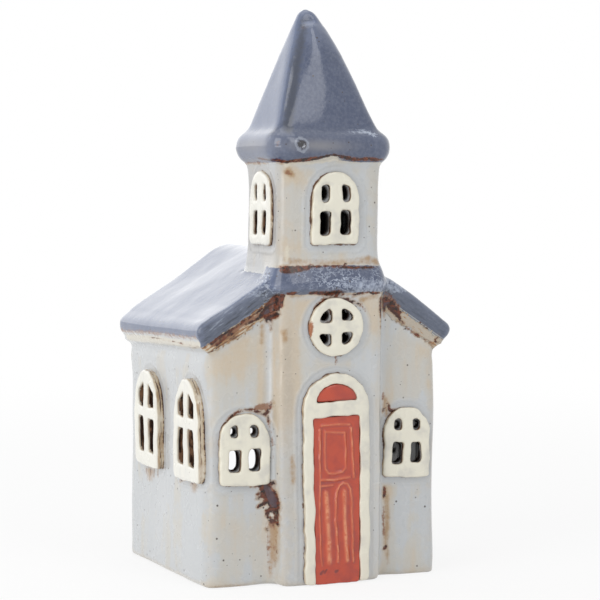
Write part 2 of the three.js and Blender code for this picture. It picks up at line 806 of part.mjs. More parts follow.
const tealightWax = () =>
  turned([
    [clipPocket, clipSeat],
    [cupInside - slipGap - cupInnerRadius, clipSeat],
    [cupInside - slipGap, clipSeat + cupInnerRadius],
    [cupInside - slipGap, waxHeight],
    [(cupInside + waxBore) / 2, waxHeight - waxDish / 2],
    [wickBore, waxHeight - waxDish],
    [wickBore, collarTop + slipGap],
    [waxBore, collarTop + slipGap],
    [waxBore, clipSeat + clipGauge + slipGap],
    [clipPocket, clipSeat + clipGauge + slipGap],
    [clipPocket, clipSeat],
  ]);

const wickClip = () =>
  turned([
    [0, clipSeat],
    [clipDiameter / 2, clipSeat],
    [clipDiameter / 2, clipSeat + clipGauge],
    [clipCollarDiameter / 2, clipSeat + clipGauge],
    [clipCollarDiameter / 2, collarTop],
    [wickBore, collarTop],
    [wickBore, clipSeat + clipGauge],
    [0, clipSeat + clipGauge],
  ]);

// The wick stands in the clip's collar and leans over a little at its burnt end.
function wick() {
  const foot = clipSeat + clipGauge + slipGap;
  const top = waxHeight - waxDish + wickProud;
  const path = new THREE.CatmullRomCurve3([
    corner(0, 0, foot),
    corner(0, 0, waxHeight),
    corner(wickBendStart * wickBend, 0, (waxHeight + top) / 2),
    corner(wickBend, 0, top),
  ]);
  const section = new THREE.Shape().absarc(0, 0, wickDiameter / 2, 0, 2 * Math.PI);
  const options = { steps: wickSteps, curveSegments: wickSegments, extrudePath: path };
  return solid(new THREE.ExtrudeGeometry(section, options));
}

// Finishes
const finish = (color, roughness, metalness = 0) =>
  new THREE.MeshStandardMaterial({ color: new THREE.Color(color), roughness, metalness });
const finishes = {
  stone_glaze: finish("#c9cac7", 0.28),
  slate_glaze: finish("#6f7890", 0.16),
  cream_glaze: finish("#ece7da", 0.22),
  red_glaze: finish("#b9492f", 0.2),
  foil: finish("#c8c9cb", 0.3, 1),
  wax: finish("#f2eee2", 0.5),
  wick: finish("#e6dfcb", 0.9),
};

// The assembly. The plan of the walls starts at the nave's front face, and the part's origin is the middle
// of its footprint.
const church = new THREE.Group();
const frontmost = Math.min(bayFace - surroundRelief, bellFront - rollBulge);
const rearmost = naveDepth + backOverhang;
church.position.y = -(frontmost + rearmost) / 2;

function add(group, name, body, material) {
  const mesh = new THREE.Mesh(geometryOf(body), finishes[material].clone());
  mesh.name = name;
  group.add(mesh);
}

add(church, "floor_slab", floorSlab(), "stone_glaze");
Object.entries(walls()).forEach(([name, body]) => add(church, name, body, "stone_glaze"));
add(church, "left_roof_slab", roofSlab(-1), "slate_glaze");
add(church, "right_roof_slab", roofSlab(1), "slate_glaze");
add(church, "tower_skirt", towerSkirt(), "slate_glaze");
add(church, "bell_chamber", bellChamber(), "stone_glaze");
add(church, "spire", spire(), "slate_glaze");
windowPlaces.forEach((w) => add(church, w.name, seatedWindow(w), "cream_glaze"));
add(church, "door_surround", doorSurround(), "cream_glaze");
add(church, "fanlight", fanlight(), "red_glaze");
add(church, "door_leaf", doorLeaf(), "red_glaze");

const tealight = new THREE.Group();
tealight.position.set(0, naveDepth / 2, floorThickness + runningGap);
add(tealight, "tealight_cup", tealightCup(), "foil");
add(tealight, "tealight_wax", tealightWax(), "wax");
add(tealight, "wick_clip", wickClip(), "foil");
add(tealight, "wick", wick(), "wick");
church.add(tealight);

const part = new THREE.Group();
part.add(church);

export default part;
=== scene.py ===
import math

import bmesh
import bpy
import numpy as np
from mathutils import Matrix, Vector, noise
from mathutils.bvhtree import BVHTree


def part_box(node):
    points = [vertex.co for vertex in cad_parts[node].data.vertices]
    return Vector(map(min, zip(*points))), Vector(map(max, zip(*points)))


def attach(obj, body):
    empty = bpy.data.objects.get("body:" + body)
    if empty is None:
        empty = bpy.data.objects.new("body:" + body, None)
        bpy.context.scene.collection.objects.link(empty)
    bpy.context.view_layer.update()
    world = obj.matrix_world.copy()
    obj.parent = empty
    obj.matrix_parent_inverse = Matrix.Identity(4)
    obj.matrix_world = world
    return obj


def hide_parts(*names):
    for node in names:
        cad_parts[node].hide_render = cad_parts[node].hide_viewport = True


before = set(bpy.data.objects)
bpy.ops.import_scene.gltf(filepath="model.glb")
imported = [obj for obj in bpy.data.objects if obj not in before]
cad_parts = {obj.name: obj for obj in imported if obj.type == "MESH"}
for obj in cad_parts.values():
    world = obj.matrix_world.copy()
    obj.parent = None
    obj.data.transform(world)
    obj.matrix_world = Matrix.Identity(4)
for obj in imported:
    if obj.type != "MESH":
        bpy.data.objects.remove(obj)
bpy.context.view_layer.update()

bl_info = {
    "name": "Church Tealight Holder",
    "version": (1, 0, 0),
    "blender": (4, 5, 0),
    "location": "View3D > Sidebar > Church",
    "description": "Hand-built pottery church with glazed walls, roof, windows and door, and a tealight",
    "category": "Object",
}

MM = 0.001

BODY_NODES = ("floor_slab", "left_wall", "right_wall", "back_wall", "front_left_wall", "front_right_wall",
              "tower_bay")
ROOF_NODES = ("left_roof_slab", "right_roof_slab", "tower_skirt")
FRONT_PLATES = ("front_window_left", "front_window_right", "round_window", "bell_window_front")
LEFT_PLATES = ("left_window_front", "left_window_back", "bell_window_left")
RIGHT_PLATES = ("right_window_front", "right_window_back", "bell_window_right")

# Iron stains, drawn as strokes in millimetres: each point of a stroke is x, y, z and half the stroke's width.
# Iron is dark brown, bloom its mauve middle, brown a thinner stain, tan a wash and pale a patch of cream slip.
IRON_STROKES = (
    ((-31.8, -43.1, 70.5, 0.2), (-29.2, -43.1, 69.6, 0.4), (-26.8, -43.1, 68.7, 0.4), (-25.3, -43.1, 68.3, 0.5),
     (-24.6, -43.1, 70.0, 0.4), (-23.6, -43.2, 72.0, 0.4), (-23.0, -43.7, 73.8, 0.3)),
    ((-31.8, -43.1, 70.3, 0.2), (-34.1, -43.1, 70.2, 0.2), (-36.2, -43.1, 70.0, 0.2), (-38.8, -43.1, 68.8, 0.3),
     (-40.5, -43.1, 67.1, 0.4), (-41.5, -44.5, 66.5, 0.2)),
    ((-25.1, -43.1, 68.4, 0.4), (-24.4, -43.1, 65.2, 0.2)),
    ((-32.2, -43.1, 39.8, 0.2), (-29.3, -43.1, 39.8, 0.4), (-26.0, -43.1, 39.9, 1.0), (-23.0, -43.7, 41.1, 0.6)),
    ((-26.7, -43.1, 39.1, 1.8), (-24.7, -43.1, 36.5, 2.2), (-23.6, -43.2, 33.2, 1.9), (-22.6, -43.4, 30.6, 1.1)),
    ((-26.9, -43.1, 37.4, 0.6), (-29.6, -43.1, 36.6, 0.3)),
    ((-26.0, -43.1, 35.6, 0.6), (-29.8, -43.1, 34.9, 0.3)),
    ((-25.6, -43.1, 33.3, 0.6), (-28.1, -43.1, 32.3, 0.4), (-29.3, -43.1, 31.3, 0.3)),
    ((-25.6, -43.1, 29.7, 0.6), (-23.9, -43.1, 30.0, 0.6), (-22.6, -44.4, 29.2, 0.6), (-22.6, -45.4, 27.7, 0.5),
     (-23.1, -43.6, 25.9, 0.6), (-24.7, -43.1, 26.4, 0.5), (-25.8, -43.1, 28.1, 0.4), (-25.6, -43.1, 29.7, 0.6)),
    ((-22.6, -45.0, 25.4, 0.6), (-22.6, -45.8, 24.3, 0.3)),
    ((-24.3, -43.1, 25.6, 0.5), (-23.5, -43.2, 24.1, 0.3)),
    ((-26.1, -43.1, 22.3, 0.4), (-25.7, -43.1, 21.8, 0.3)),
    ((-22.6, -44.4, 14.5, 0.5), (-22.6, -45.4, 13.1, 0.2)),
    ((-27.0, -44.5, 108.7, 1.3), (-24.8, -44.5, 110.7, 2.1), (-22.6, -45.4, 113.0, 2.2), (-22.2, -48.5, 115.0, 1.6),
     (-21.1, -49.5, 116.0, 0.9)),
    ((-24.3, -43.1, 107.8, 1.4), (-22.6, -44.4, 107.8, 0.9), (-22.4, -48.0, 109.0, 0.7)),
    ((-23.8, -43.1, 106.8, 0.5), (-23.3, -43.3, 104.2, 0.2), (-23.8, -43.1, 101.8, 0.2)),
    ((-26.1, -44.5, 107.9, 0.4), (-25.1, -43.1, 105.3, 0.2)),
    ((-27.4, -44.5, 111.0, 0.5), (-30.8, -44.5, 108.8, 0.3), (-35.9, -44.5, 105.8, 0.4), (-39.3, -44.5, 103.5, 0.3),
     (-42.7, -44.5, 101.6, 0.4), (-45.8, -43.7, 99.7, 0.5), (-49.2, -43.8, 97.4, 0.5)),
    ((-27.4, -44.5, 107.8, 0.3), (-31.7, -44.5, 105.9, 0.3), (-34.7, -44.5, 104.6, 0.3)),
    ((-39.3, -44.5, 101.5, 0.3), (-42.7, -44.5, 99.9, 0.3), (-46.9, -44.5, 96.6, 0.3)),
    ((-25.1, -33.9, 169.6, 0.3), (-23.7, -47.9, 168.8, 0.4), (-19.7, -48.5, 168.3, 0.5), (-13.9, -50.9, 169.1, 0.5),
     (-8.1, -51.5, 169.8, 0.5), (-3.2, -52.2, 170.9, 0.4), (-0.3, -52.4, 171.5, 0.3), (3.8, -52.0, 170.6, 0.4),
     (9.3, -51.5, 169.7, 0.5), (13.6, -51.6, 169.9, 0.5), (19.2, -51.1, 169.5, 0.4), (22.4, -49.8, 169.5, 0.2)),
    ((-5.9, -34.7, 221.9, 0.35), (-6.0, -34.8, 221.6, 0.35)),
    ((-21.3, -47.3, 126.9, 0.3), (-19.0, -48.6, 127.1, 0.5), (-14.8, -49.0, 126.9, 0.5), (-9.8, -48.9, 127.0, 0.4),
     (-3.3, -49.0, 126.9, 0.3), (2.5, -49.0, 126.8, 0.3), (7.9, -49.9, 126.3, 0.3), (13.8, -50.0, 126.2, 0.3),
     (20.6, -48.1, 126.5, 0.2)),
    ((-20.7, -49.3, 125.9, 0.8), (-17.5, -50.1, 125.8, 0.8), (-13.9, -50.1, 125.9, 0.5), (-9.9, -50.0, 126.3, 0.2)),
    ((-19.4, -51.3, 116.8, 0.3), (-16.1, -51.9, 117.0, 0.4)),
    ((-10.3, -51.7, 116.8, 0.3), (-6.0, -51.7, 116.7, 0.4), (-2.4, -50.1, 116.4, 0.6), (1.3, -51.7, 116.8, 0.6),
     (7.7, -46.5, 116.5, 0.4), (7.1, -50.1, 116.0, 0.3)),
    ((-3.8, -50.1, 116.1, 0.3), (0.6, -50.1, 115.4, 0.4), (4.9, -50.1, 115.6, 0.3)),
    ((9.3, -50.1, 115.4, 0.3), (12.2, -50.1, 116.3, 0.3), (15.2, -50.1, 116.5, 0.4), (18.1, -50.1, 116.0, 0.5),
     (20.5, -49.8, 116.1, 0.3)),
    ((-9.4, -48.8, 128.2, 0.3), (-9.2, -48.8, 128.2, 0.3)),
    ((6.2, -48.8, 127.8, 0.3), (6.4, -48.8, 127.8, 0.3)),
    ((13.7, -48.8, 128.4, 0.3), (13.8, -48.8, 128.4, 0.3)),
    ((6.4, -50.1, 114.0, 0.2), (9.3, -50.1, 112.7, 0.3), (12.3, -50.1, 111.3, 0.2)),
    ((24.4, -44.5, 113.3, 0.5), (25.2, -44.5, 112.2, 0.9), (24.8, -44.5, 110.1, 0.7), (25.3, -43.1, 108.4, 0.4)),
    ((25.4, -44.3, 113.0, 1.0), (28.0, -44.5, 110.7, 1.5), (30.2, -44.5, 108.2, 1.2), (32.7, -44.5, 104.9, 0.3)),
    ((30.3, -43.9, 110.4, 0.3), (31.4, -44.5, 108.9, 0.3), (32.7, -44.5, 107.5, 0.3)),
    ((25.4, -45.3, 116.3, 0.3), (28.5, -45.3, 114.2, 0.2), (31.8, -45.3, 111.2, 0.2)),
    ((41.4, -44.8, 103.4, 0.2), (44.2, -44.5, 101.4, 0.3), (45.0, -44.5, 100.9, 0.2)),
    ((32.8, -44.5, 104.5, 0.3), (34.1, -44.5, 103.0, 0.2)),
    ((39.5, -43.1, 98.9, 0.2), (40.6, -43.5, 98.2, 0.3), (41.1, -44.3, 97.9, 0.2)),
    ((48.5, -44.5, 95.8, 0.5), (49.6, -44.5, 95.2, 0.4)),
    ((49.7, -44.7, 97.9, 0.3), (49.9, -44.7, 97.7, 0.3)),
    ((21.4, -49.3, 114.1, 0.3), (21.2, -49.5, 109.6, 0.3), (21.4, -49.3, 106.1, 0.2)),
    ((21.6, -49.0, 104.9, 0.3), (22.1, -48.6, 104.6, 0.3)),
    ((21.7, -49.0, 102.1, 0.3), (22.1, -48.6, 101.7, 0.2)),
    ((27.7, -43.1, 70.4, 0.3), (28.8, -43.1, 67.6, 0.5), (30.5, -44.9, 66.9, 0.6), (33.5, -45.2, 67.9, 0.4),
     (34.8, -45.2, 68.2, 0.2)),
    ((25.9, -43.1, 68.2, 0.4), (25.8, -43.1, 67.2, 0.3)),
    ((26.7, -43.1, 35.7, 0.5), (26.7, -43.1, 33.4, 0.6), (26.6, -43.1, 32.0, 0.3)),
    ((27.0, -43.1, 11.3, 0.6), (27.8, -43.1, 12.3, 0.4)),
)
BLOOM_STROKES = (
    ((-26.0, -43.1, 39.1, 1.1), (-24.6, -43.1, 36.5, 1.5), (-23.5, -43.2, 33.2, 1.3), (-22.6, -43.2, 30.9, 0.6)),
    ((-26.4, -44.5, 109.0, 0.6), (-25.3, -44.5, 109.9, 0.8)),
    ((24.8, -44.5, 110.5, 0.5), (25.9, -44.5, 111.5, 0.6), (27.2, -44.5, 111.4, 0.4)),
)
BROWN_STROKES = (
    ((-29.8, -43.1, 71.0, 0.8), (-27.3, -43.1, 71.2, 1.4), (-25.5, -43.1, 71.2, 1.2), (-24.1, -43.1, 72.5, 0.6),
     (-23.1, -43.6, 73.7, 0.2)),
    ((-24.4, -43.1, 65.2, 0.2), (-23.5, -43.2, 58.8, 0.2), (-23.0, -43.7, 50.1, 0.2)),
    ((-23.9, -43.1, 24.8, 1.1), (-23.5, -43.2, 22.8, 0.6)),
    ((-22.7, -45.1, 24.0, 0.2), (-22.7, -44.9, 19.0, 0.1), (-22.7, -44.6, 12.5, 0.1), (-23.0, -43.6, 7.0, 0.0)),
    ((-26.0, -43.1, 24.6, 0.1), (-25.7, -43.1, 20.4, 0.0), (-25.6, -43.1, 16.0, 0.1), (-25.2, -43.1, 11.0, 0.0),
     (-24.6, -43.1, 6.0, 0.0)),
    ((-26.0, -43.1, 18.1, 0.2), (-25.0, -43.1, 17.3, 0.3)),
    ((-25.7, -43.1, 14.9, 0.2), (-24.7, -43.1, 15.2, 0.3)),
    ((-23.1, -43.5, 15.6, 0.7), (-22.6, -44.4, 13.1, 0.5)),
    ((-27.4, -44.5, 109.1, 0.7), (-31.7, -44.5, 107.1, 0.9), (-35.9, -44.5, 104.6, 0.9), (-40.2, -44.5, 102.1, 0.9),
     (-44.4, -44.5, 99.7, 0.9), (-48.6, -44.5, 97.1, 0.8)),
    ((-19.4, -50.0, 102.4, 0.0), (-18.9, -50.1, 102.6, 0.0)),
    ((1.7, -50.1, 90.4, 0.3), (1.9, -50.1, 88.9, 0.4), (1.7, -50.1, 88.0, 0.2)),
    ((13.0, -50.1, 111.3, 0.3), (14.3, -50.1, 109.0, 0.3)),
    ((-3.1, -50.1, 114.2, 0.2), (-5.1, -50.1, 113.6, 0.2)),
    ((25.2, -45.0, 114.6, 0.6), (27.5, -45.0, 113.3, 1.0), (30.0, -44.9, 111.3, 0.8), (31.9, -44.3, 109.5, 0.5)),
    ((25.5, -44.5, 111.3, 0.7), (26.9, -44.5, 110.5, 0.5)),
    ((-23.7, -50.5, 175.7, 0.4), (-24.0, -50.3, 174.7, 0.3)),
    ((35.2, -44.2, 101.8, 0.2), (38.5, -43.3, 99.6, 0.2), (40.4, -43.5, 98.4, 0.2), (42.5, -44.5, 97.0, 0.2),
     (45.3, -44.5, 95.5, 0.2), (47.6, -44.5, 94.7, 0.3)),
    ((25.7, -43.1, 74.4, 0.4), (25.5, -43.1, 72.3, 0.3)),
    ((28.3, -43.5, 65.1, 0.4), (26.9, -45.3, 59.6, 0.3), (26.7, -45.3, 53.1, 0.3), (26.7, -45.3, 47.4, 0.3),
     (26.9, -45.3, 41.7, 0.3)),
    ((26.2, -43.1, 28.3, 0.3), (26.2, -43.1, 21.8, 0.3), (26.5, -43.1, 16.8, 0.4)),
    ((-19.1, -48.2, 164.2, 0.6), (-17.9, -48.4, 163.6, 0.4)),
)
TAN_STROKES = (
    ((-49.5, 26.9, 38.2, 1.6), (-49.5, 26.9, 35.0, 0.8)),
    ((-49.5, -27.8, 39.6, 1.2), (-49.5, -27.8, 37.0, 0.6)),
    ((19.0, -48.3, 128.6, 1.4), (21.0, -48.3, 128.2, 1.2)),
    ((-23.6, -43.2, 25.2, 1.9), (-23.5, -43.2, 22.0, 1.8), (-23.6, -43.2, 18.8, 1.4), (-23.5, -43.2, 14.8, 1.6),
     (-23.6, -43.2, 11.6, 1.4), (-24.1, -43.1, 8.4, 1.0), (-24.4, -43.1, 5.6, 0.6), (-24.4, -43.1, 3.6, 0.3)),
    ((-49.5, -37.7, 0.8, 0.4), (-46.4, -42.7, 0.5, 0.4), (-32.9, -43.1, 0.0, 0.4)),
    ((-27.0, -43.1, 103.9, 0.7), (-27.0, -43.1, 96.7, 0.4)),
    ((-17.6, -48.8, 128.6, 0.5), (-7.6, -48.8, 128.2, 0.5), (2.6, -48.8, 128.0, 0.5), (14.3, -48.8, 128.3, 0.7),
     (18.9, -48.5, 128.4, 0.7)),
    ((-3.1, -50.1, 116.6, 1.1), (5.7, -50.1, 116.5, 0.9)),
    ((12.6, -50.1, 113.3, 0.8), (16.7, -50.1, 114.6, 0.7), (19.7, -50.0, 114.9, 0.5)),
    ((-20.2, -49.8, 101.5, 1.1), (-19.9, -49.9, 98.2, 0.7)),
    ((-17.5, -50.1, 116.3, 0.8), (-12.5, -50.1, 116.0, 0.5)),
    ((25.3, -43.1, 107.7, 0.5), (25.6, -43.1, 105.6, 0.3)),
    ((31.2, -43.2, 104.5, 0.6), (33.4, -44.5, 103.2, 0.4)),
    ((47.6, -44.5, 93.9, 0.8), (45.9, -44.5, 95.0, 0.5)),
    ((26.4, -43.1, 72.5, 0.7), (26.8, -43.1, 69.2, 1.1), (27.6, -43.1, 65.9, 1.0)),
    ((27.4, -43.1, 34.8, 0.7), (27.8, -43.1, 29.9, 0.9), (28.0, -43.1, 25.0, 1.0), (27.9, -43.1, 20.0, 1.1),
     (27.7, -43.1, 16.8, 1.0), (27.5, -43.1, 13.5, 0.7), (28.2, -43.1, 8.5, 0.7), (28.6, -41.7, 5.0, 0.4)),
    ((-18.6, -48.3, 164.4, 1.6), (-17.1, -48.4, 163.2, 1.1)),
    ((-19.1, -48.2, 130.3, 0.6), (-12.8, -48.7, 129.5, 0.3), (1.9, -48.7, 128.8, 0.2), (12.5, -48.7, 129.3, 0.4),
     (16.5, -48.6, 130.0, 0.9)),
    ((-17.1, -50.1, 41.6, 0.9), (-17.1, -50.1, 51.5, 0.7)),
)
PALE_STROKES = (
    ((-24.0, -43.1, 27.8, 0.6), (-23.9, -43.1, 27.6, 0.6)),
    ((-19.6, -48.4, 167.3, 0.6), (-9.6, -49.0, 168.3, 0.7), (-0.3, -51.6, 169.9, 1.0), (18.6, -29.6, 168.8, 0.7),
     (20.7, -47.9, 168.2, 0.5)),
    ((-18.3, -48.1, 135.1, 0.5), (-18.8, -48.4, 129.7, 0.6)),
)
SIDE_PALE = (
    ((-52.3, 45.6, 94.4, 1.4), (-52.3, 8.7, 95.2, 1.6), (-52.3, -19.6, 96.0, 1.5), (-52.3, -41.2, 96.8, 1.2)),
)
# A darker strip along the spire's front-left edge.
EDGE_DARK_STROKES = (
    ((-18.8, -47.5, 181.0, 1.6), (-15.0, -44.0, 194.0, 1.7), (-11.4, -40.6, 207.0, 1.4), (-7.4, -37.2, 219.0, 1.1),
     (-5.7, -35.8, 225.0, 0.9)),
)
FROST_STROKES = (
    ((3.2, -48.5, 180.4, 0.4), (10.1, -47.9, 180.6, 0.7), (14.9, -48.8, 180.3, 0.9), (18.4, -50.5, 179.5, 0.7)),
)
SIDE_STROKES = (
    ((-52.3, -12.5, 96.0, -0.2), (-52.0, -24.4, 95.8, -0.1), (-51.2, -36.8, 96.8, -0.1)),
    ((-52.5, -26.7, 94.8, -0.1), (-52.0, -37.3, 95.6, -0.1)),
    ((-49.5, 26.0, 39.0, 0.2), (-49.5, 25.7, 36.3, 0.1)),
    ((-49.5, 21.5, 39.1, 0.2), (-49.5, 21.4, 36.2, 0.1)),
    ((-49.5, 16.8, 40.2, 0.2), (-49.5, 16.6, 37.4, 0.1)),
    ((-49.5, 31.4, 38.7, 0.2), (-49.5, 31.1, 36.6, 0.1)),
    ((-53.1, -20.8, 41.9, 0.1), (-49.5, -11.5, 39.1, 0.1)),
    ((-53.0, -32.8, 41.7, 0.2), (-49.5, -23.8, 39.2, 0.1)),
)
# Ridges drawn on the door leaf: half width and height in millimetres, then places as shares of the leaf's own size.
LEAF_RIDGES = (
    (0.5, 0.7, ((0.16, 0.952), (0.5, 0.958), (0.78, 0.95))),
    (0.5, 0.6, ((0.12, 0.93), (0.11, 0.75), (0.12, 0.6), (0.1, 0.47), (0.09, 0.35), (0.1, 0.22), (0.13, 0.11))),
    (0.5, 0.8, ((0.81, 0.93), (0.84, 0.8), (0.86, 0.7), (0.87, 0.63))),
    (0.55, 0.6, ((0.23, 0.915), (0.67, 0.905), (0.69, 0.8), (0.69, 0.69), (0.62, 0.668),
                 (0.45, 0.66), (0.3, 0.665), (0.24, 0.69), (0.22, 0.8), (0.23, 0.915))),
    (0.6, 0.7, ((0.15, 0.628), (0.45, 0.622), (0.78, 0.634))),
    (0.5, 0.6, ((0.15, 0.59), (0.4, 0.592))),
    (1.35, 0.8, ((0.25, 0.545), (0.27, 0.4), (0.29, 0.25), (0.3, 0.13))),
    (0.6, 0.8, ((0.46, 0.5), (0.47, 0.44), (0.455, 0.37), (0.48, 0.25), (0.5, 0.19), (0.495, 0.13))),
    (1.15, 0.8, ((0.66, 0.545), (0.67, 0.4), (0.68, 0.28), (0.72, 0.13))),
    (0.55, 0.7, ((0.46, 0.5), (0.49, 0.55), (0.55, 0.587), (0.64, 0.6), (0.73, 0.592), (0.795, 0.56), (0.82, 0.5),
                (0.83, 0.4), (0.84, 0.3), (0.86, 0.12))),
)

# Height at which the slate glaze ends on the eaves.
EAVE_LINE = 98.4

# A burst blister on the spire's roll.
BLISTER = (-14.6, -52.8, 175.1)

# The iron patch on the round window's edge and dents at the foot of the door.
PLATE_STROKES = (
    ((-9.6, -52.0, 105.0, 0.3), (-10.2, -52.0, 102.0, 1.2), (-9.8, -52.0, 99.2, 0.3)),
    ((-5.9, -51.6, 4.6, 0.4), (-4.9, -51.6, 5.4, 0.3)),
    ((-4.2, -51.6, 4.8, 0.2), (-3.4, -51.6, 6.0, 0.1)),
    ((0.9, -51.6, 5.0, 0.4), (1.6, -51.6, 5.3, 0.3)),
)

# Soft buff patches where the wall glaze lies thin, as middle, half size and strength. Those above 1.3 deepen into
# painted shade, as in the valley beside the tower's left side.
BUFF_AND_SHADE_PATCHES = (
    ((0, -48.3, 120.5), (24, 5, 5.0), 1.0),
    ((-15.5, -48.3, 136), (6.5, 5, 20), 0.9),
    ((-16.5, -48.5, 163.5), (6, 5, 5), 1.2),
    ((17, -48.3, 141), (4, 5, 12), 0.5),
    ((-19, -50.1, 85), (6, 5, 34), 2.1),
    ((-17, -50.1, 40), (4, 5, 30), 0.6),
    ((-25.0, -46.0, 70), (3.5, 5, 60), 2.2),
    ((-44.5, -43.1, 84), (5, 5, 20), 1.0),
    ((-46, -43.1, 40), (3, 5, 44), 0.7),
    ((-36, -43.1, 92), (12, 5, 12), 0.7),
    ((-36, -43.1, 14), (12, 5, 10), 0.5),
    ((25, -45.5, 62), (3.5, 5, 40), 0.8),
    ((38, -43.1, 90), (13, 5, 14), 0.5),
    ((0, -50.1, 107), (24, 5, 11), 2.0),
    ((-43, -43.1, 88), (4, 5, 9), 1.2),
    ((28.5, -43.1, 55), (4, 5, 50), 0.8),
    ((-49.5, -41, 60), (3, 3, 50), 0.5),
    ((-49.5, -4, 60), (3, 5, 30), 0.3),
    ((49.5, 10, 50), (3, 9, 40), 0.5),
    ((-21.85, -42, 146), (3, 8, 22), 1.2),
    ((0, 52.9, 96), (34, 4, 20), 0.6),
    ((-36, 52.9, 45), (8, 4, 40), 0.5),
    ((34, 52.9, 30), (9, 4, 30), 0.5),
)

# Painted light: a painted pool of light right of the door and a painted reflection along the roll under the spire.
PAINTED_LIGHT_PATCHES = (
    ((19.0, -50.1, 38), (4.0, 5, 46), 1.0),
    ((-7, -52, 174.9), (13, 6, 2.4), 1.6),
    ((-26, -30, 174.6), (6, 22, 3.4), 1.2),
)

# Painted shade: the bell chamber's left side and the tower's left corner.
PAINTED_SHADE_PATCHES = (
    ((-21.85, -22, 148), (3, 30, 30), 1.15),
    ((-19.5, -50.1, 60), (3.5, 5, 60), 0.6),
)

# The door side.
FORWARD = (0, -1, 0)

# How much each axis counts for strokes on the side walls.
SIDE_FLAT = (0.3, 1, 1)

# The four pieces that the skin of clay is cut into: name, CAD nodes and slot.
CLAY_PIECES = (
    ("walls_clay", BODY_NODES, "stone_glaze"),
    ("roof_clay", ROOF_NODES, "slate_glaze"),
    ("bell_chamber_clay", ("bell_chamber",), "stone_glaze"),
    ("spire_clay", ("spire",), "slate_glaze"),
)

# The section through the tealight's foil cup, as shares of its radius and height.
CUP_PROFILE = (
    (0.0, 0.0), (0.9, 0.0), (0.97, 0.012), (1.0, 0.06), (1.0, 0.5), (1.0, 0.93), (1.022, 0.955), (1.045, 0.97),
    (1.045, 1.0), (1.02, 1.0), (0.976, 0.99), (0.974, 0.5), (0.97, 0.06), (0.94, 0.032), (0.0, 0.032),
)

# Each lamp's name, place, height of the point that it is aimed at, and size in metres.
LAMPS = (
    ("key", (-1.05, -0.45, 0.75), 0.1, (0.8, 0.9)),
    ("front", (0.24, -0.9, 1.0), 0.15, (0.35, 0.8)),
    ("bounce", (-0.95, -0.5, 0.06), 0.1, (0.7, 0.2)),
    ("sweep", (-0.2, 1.3, 0.66), 0.12, (2.4, 1.0)),
    ("top", (0, 0, 1.3), 0.1, (0.9, 0.9)),
)

# Colours of the stains and of what varies in each glaze, as linear red, green and blue. Some of them are painted
# light and shade, as marked.
SLIP_LEFT, SLIP_RIGHT = (0.66, 0.59, 0.46), (0.49, 0.43, 0.35)
SLIP_TAN, SLIP_DARK = (0.4, 0.21, 0.085), (0.11, 0.04, 0.02)
CORE_RED, CORE_PALE = (0.16, 0.037, 0.013), (0.4, 0.24, 0.12)
CORE_BLACK, CORE_RUST = (0.012, 0.006, 0.005), (0.3, 0.11, 0.04)
# The first is painted shade for the inside of the hollow.
INSIDE_SHADE, BARE_CLAY = (0.012, 0.008, 0.007), (0.07, 0.034, 0.022)
CREAM_SLIP, THIN_IRON = (0.68, 0.63, 0.52), (0.24, 0.1, 0.042)
PLATE_LINE, WALL_SPECK = (0.15, 0.075, 0.045), (0.05, 0.035, 0.03)
# The first is painted shade and the second a painted pool of light.
PAINTED_SHADE_BUFF, PAINTED_LIGHT_STONE = (0.47, 0.395, 0.29), (0.72, 0.72, 0.7)
# The first is painted shade.
PAINTED_SHADE_STONE, CHALK = (0.36, 0.335, 0.31), (0.7, 0.67, 0.62)
# The second is a painted sky reflection.
MOTTLED_SLATE, PAINTED_SKY_SLATE = (0.1, 0.122, 0.19), (0.115, 0.155, 0.27)
VERGE_SLATE, VERGE_DARK = (0.13, 0.15, 0.185), (0.028, 0.036, 0.055)
# The second is a painted highlight.
SCRATCH, VERGE_HIGHLIGHT = (0.28, 0.32, 0.4), (0.5, 0.5, 0.47)
# The second is a painted sheen.
HOLLOW_SLATE, PAINTED_SHEEN_SLATE = (0.065, 0.08, 0.12), (0.235, 0.235, 0.255)
EDGE_DARK_SLATE, FROST = (0.036, 0.043, 0.062), (0.6, 0.67, 0.8)
BLISTER_LIP, BLISTER_HOLE, BLISTER_GLINT = (0.3, 0.33, 0.4), (0.02, 0.018, 0.02), (0.45, 0.47, 0.52)
GREY_CREAM, PALE_CREAM, POOLED_CREAM = (0.66, 0.64, 0.57), (0.87, 0.86, 0.8), (0.6, 0.61, 0.58)
RIM_TAN, RIM_BROWN = (0.58, 0.48, 0.34), (0.4, 0.27, 0.15)
CRACK, CREAM_IRON, CREAM_SPECK = (0.1, 0.05, 0.03), (0.36, 0.13, 0.05), (0.14, 0.08, 0.05)
# The first is painted shade on the pane sides.
JAMB_SHADE, JAMB_BROWN = (0.035, 0.016, 0.011), (0.26, 0.14, 0.08)
DEEP_RED, POOLED_RED, LIT_RED = (0.42, 0.045, 0.022), (0.34, 0.062, 0.05), (0.6, 0.12, 0.045)
DENT_RED, EDGE_RED, RED_SPECK = (0.2, 0.02, 0.015), (0.2, 0.02, 0.01), (0.1, 0.02, 0.015)
FOIL, DULL_FOIL = (0.8, 0.8, 0.81), (0.66, 0.66, 0.68)
WAX, DULL_WAX = (0.88, 0.85, 0.76), (0.8, 0.77, 0.68)
COTTON, SHADED_COTTON, CHAR = (0.75, 0.7, 0.56), (0.55, 0.49, 0.36), (0.018, 0.014, 0.012)

# The verges' pitch, as the cosine and sine of its angle.
PITCH_RUN, PITCH_RISE = 0.84, 0.54


def length(name, about, size):
    return bpy.props.FloatProperty(name=name, description=about, default=size * MM, unit="LENGTH", precision=5)


def shade(name, about, rgb):
    return bpy.props.FloatVectorProperty(name=name, description=about, subtype="COLOR", default=rgb)


def power(name, about, watts):
    return bpy.props.FloatProperty(name=name, description=about, default=watts, unit="POWER")


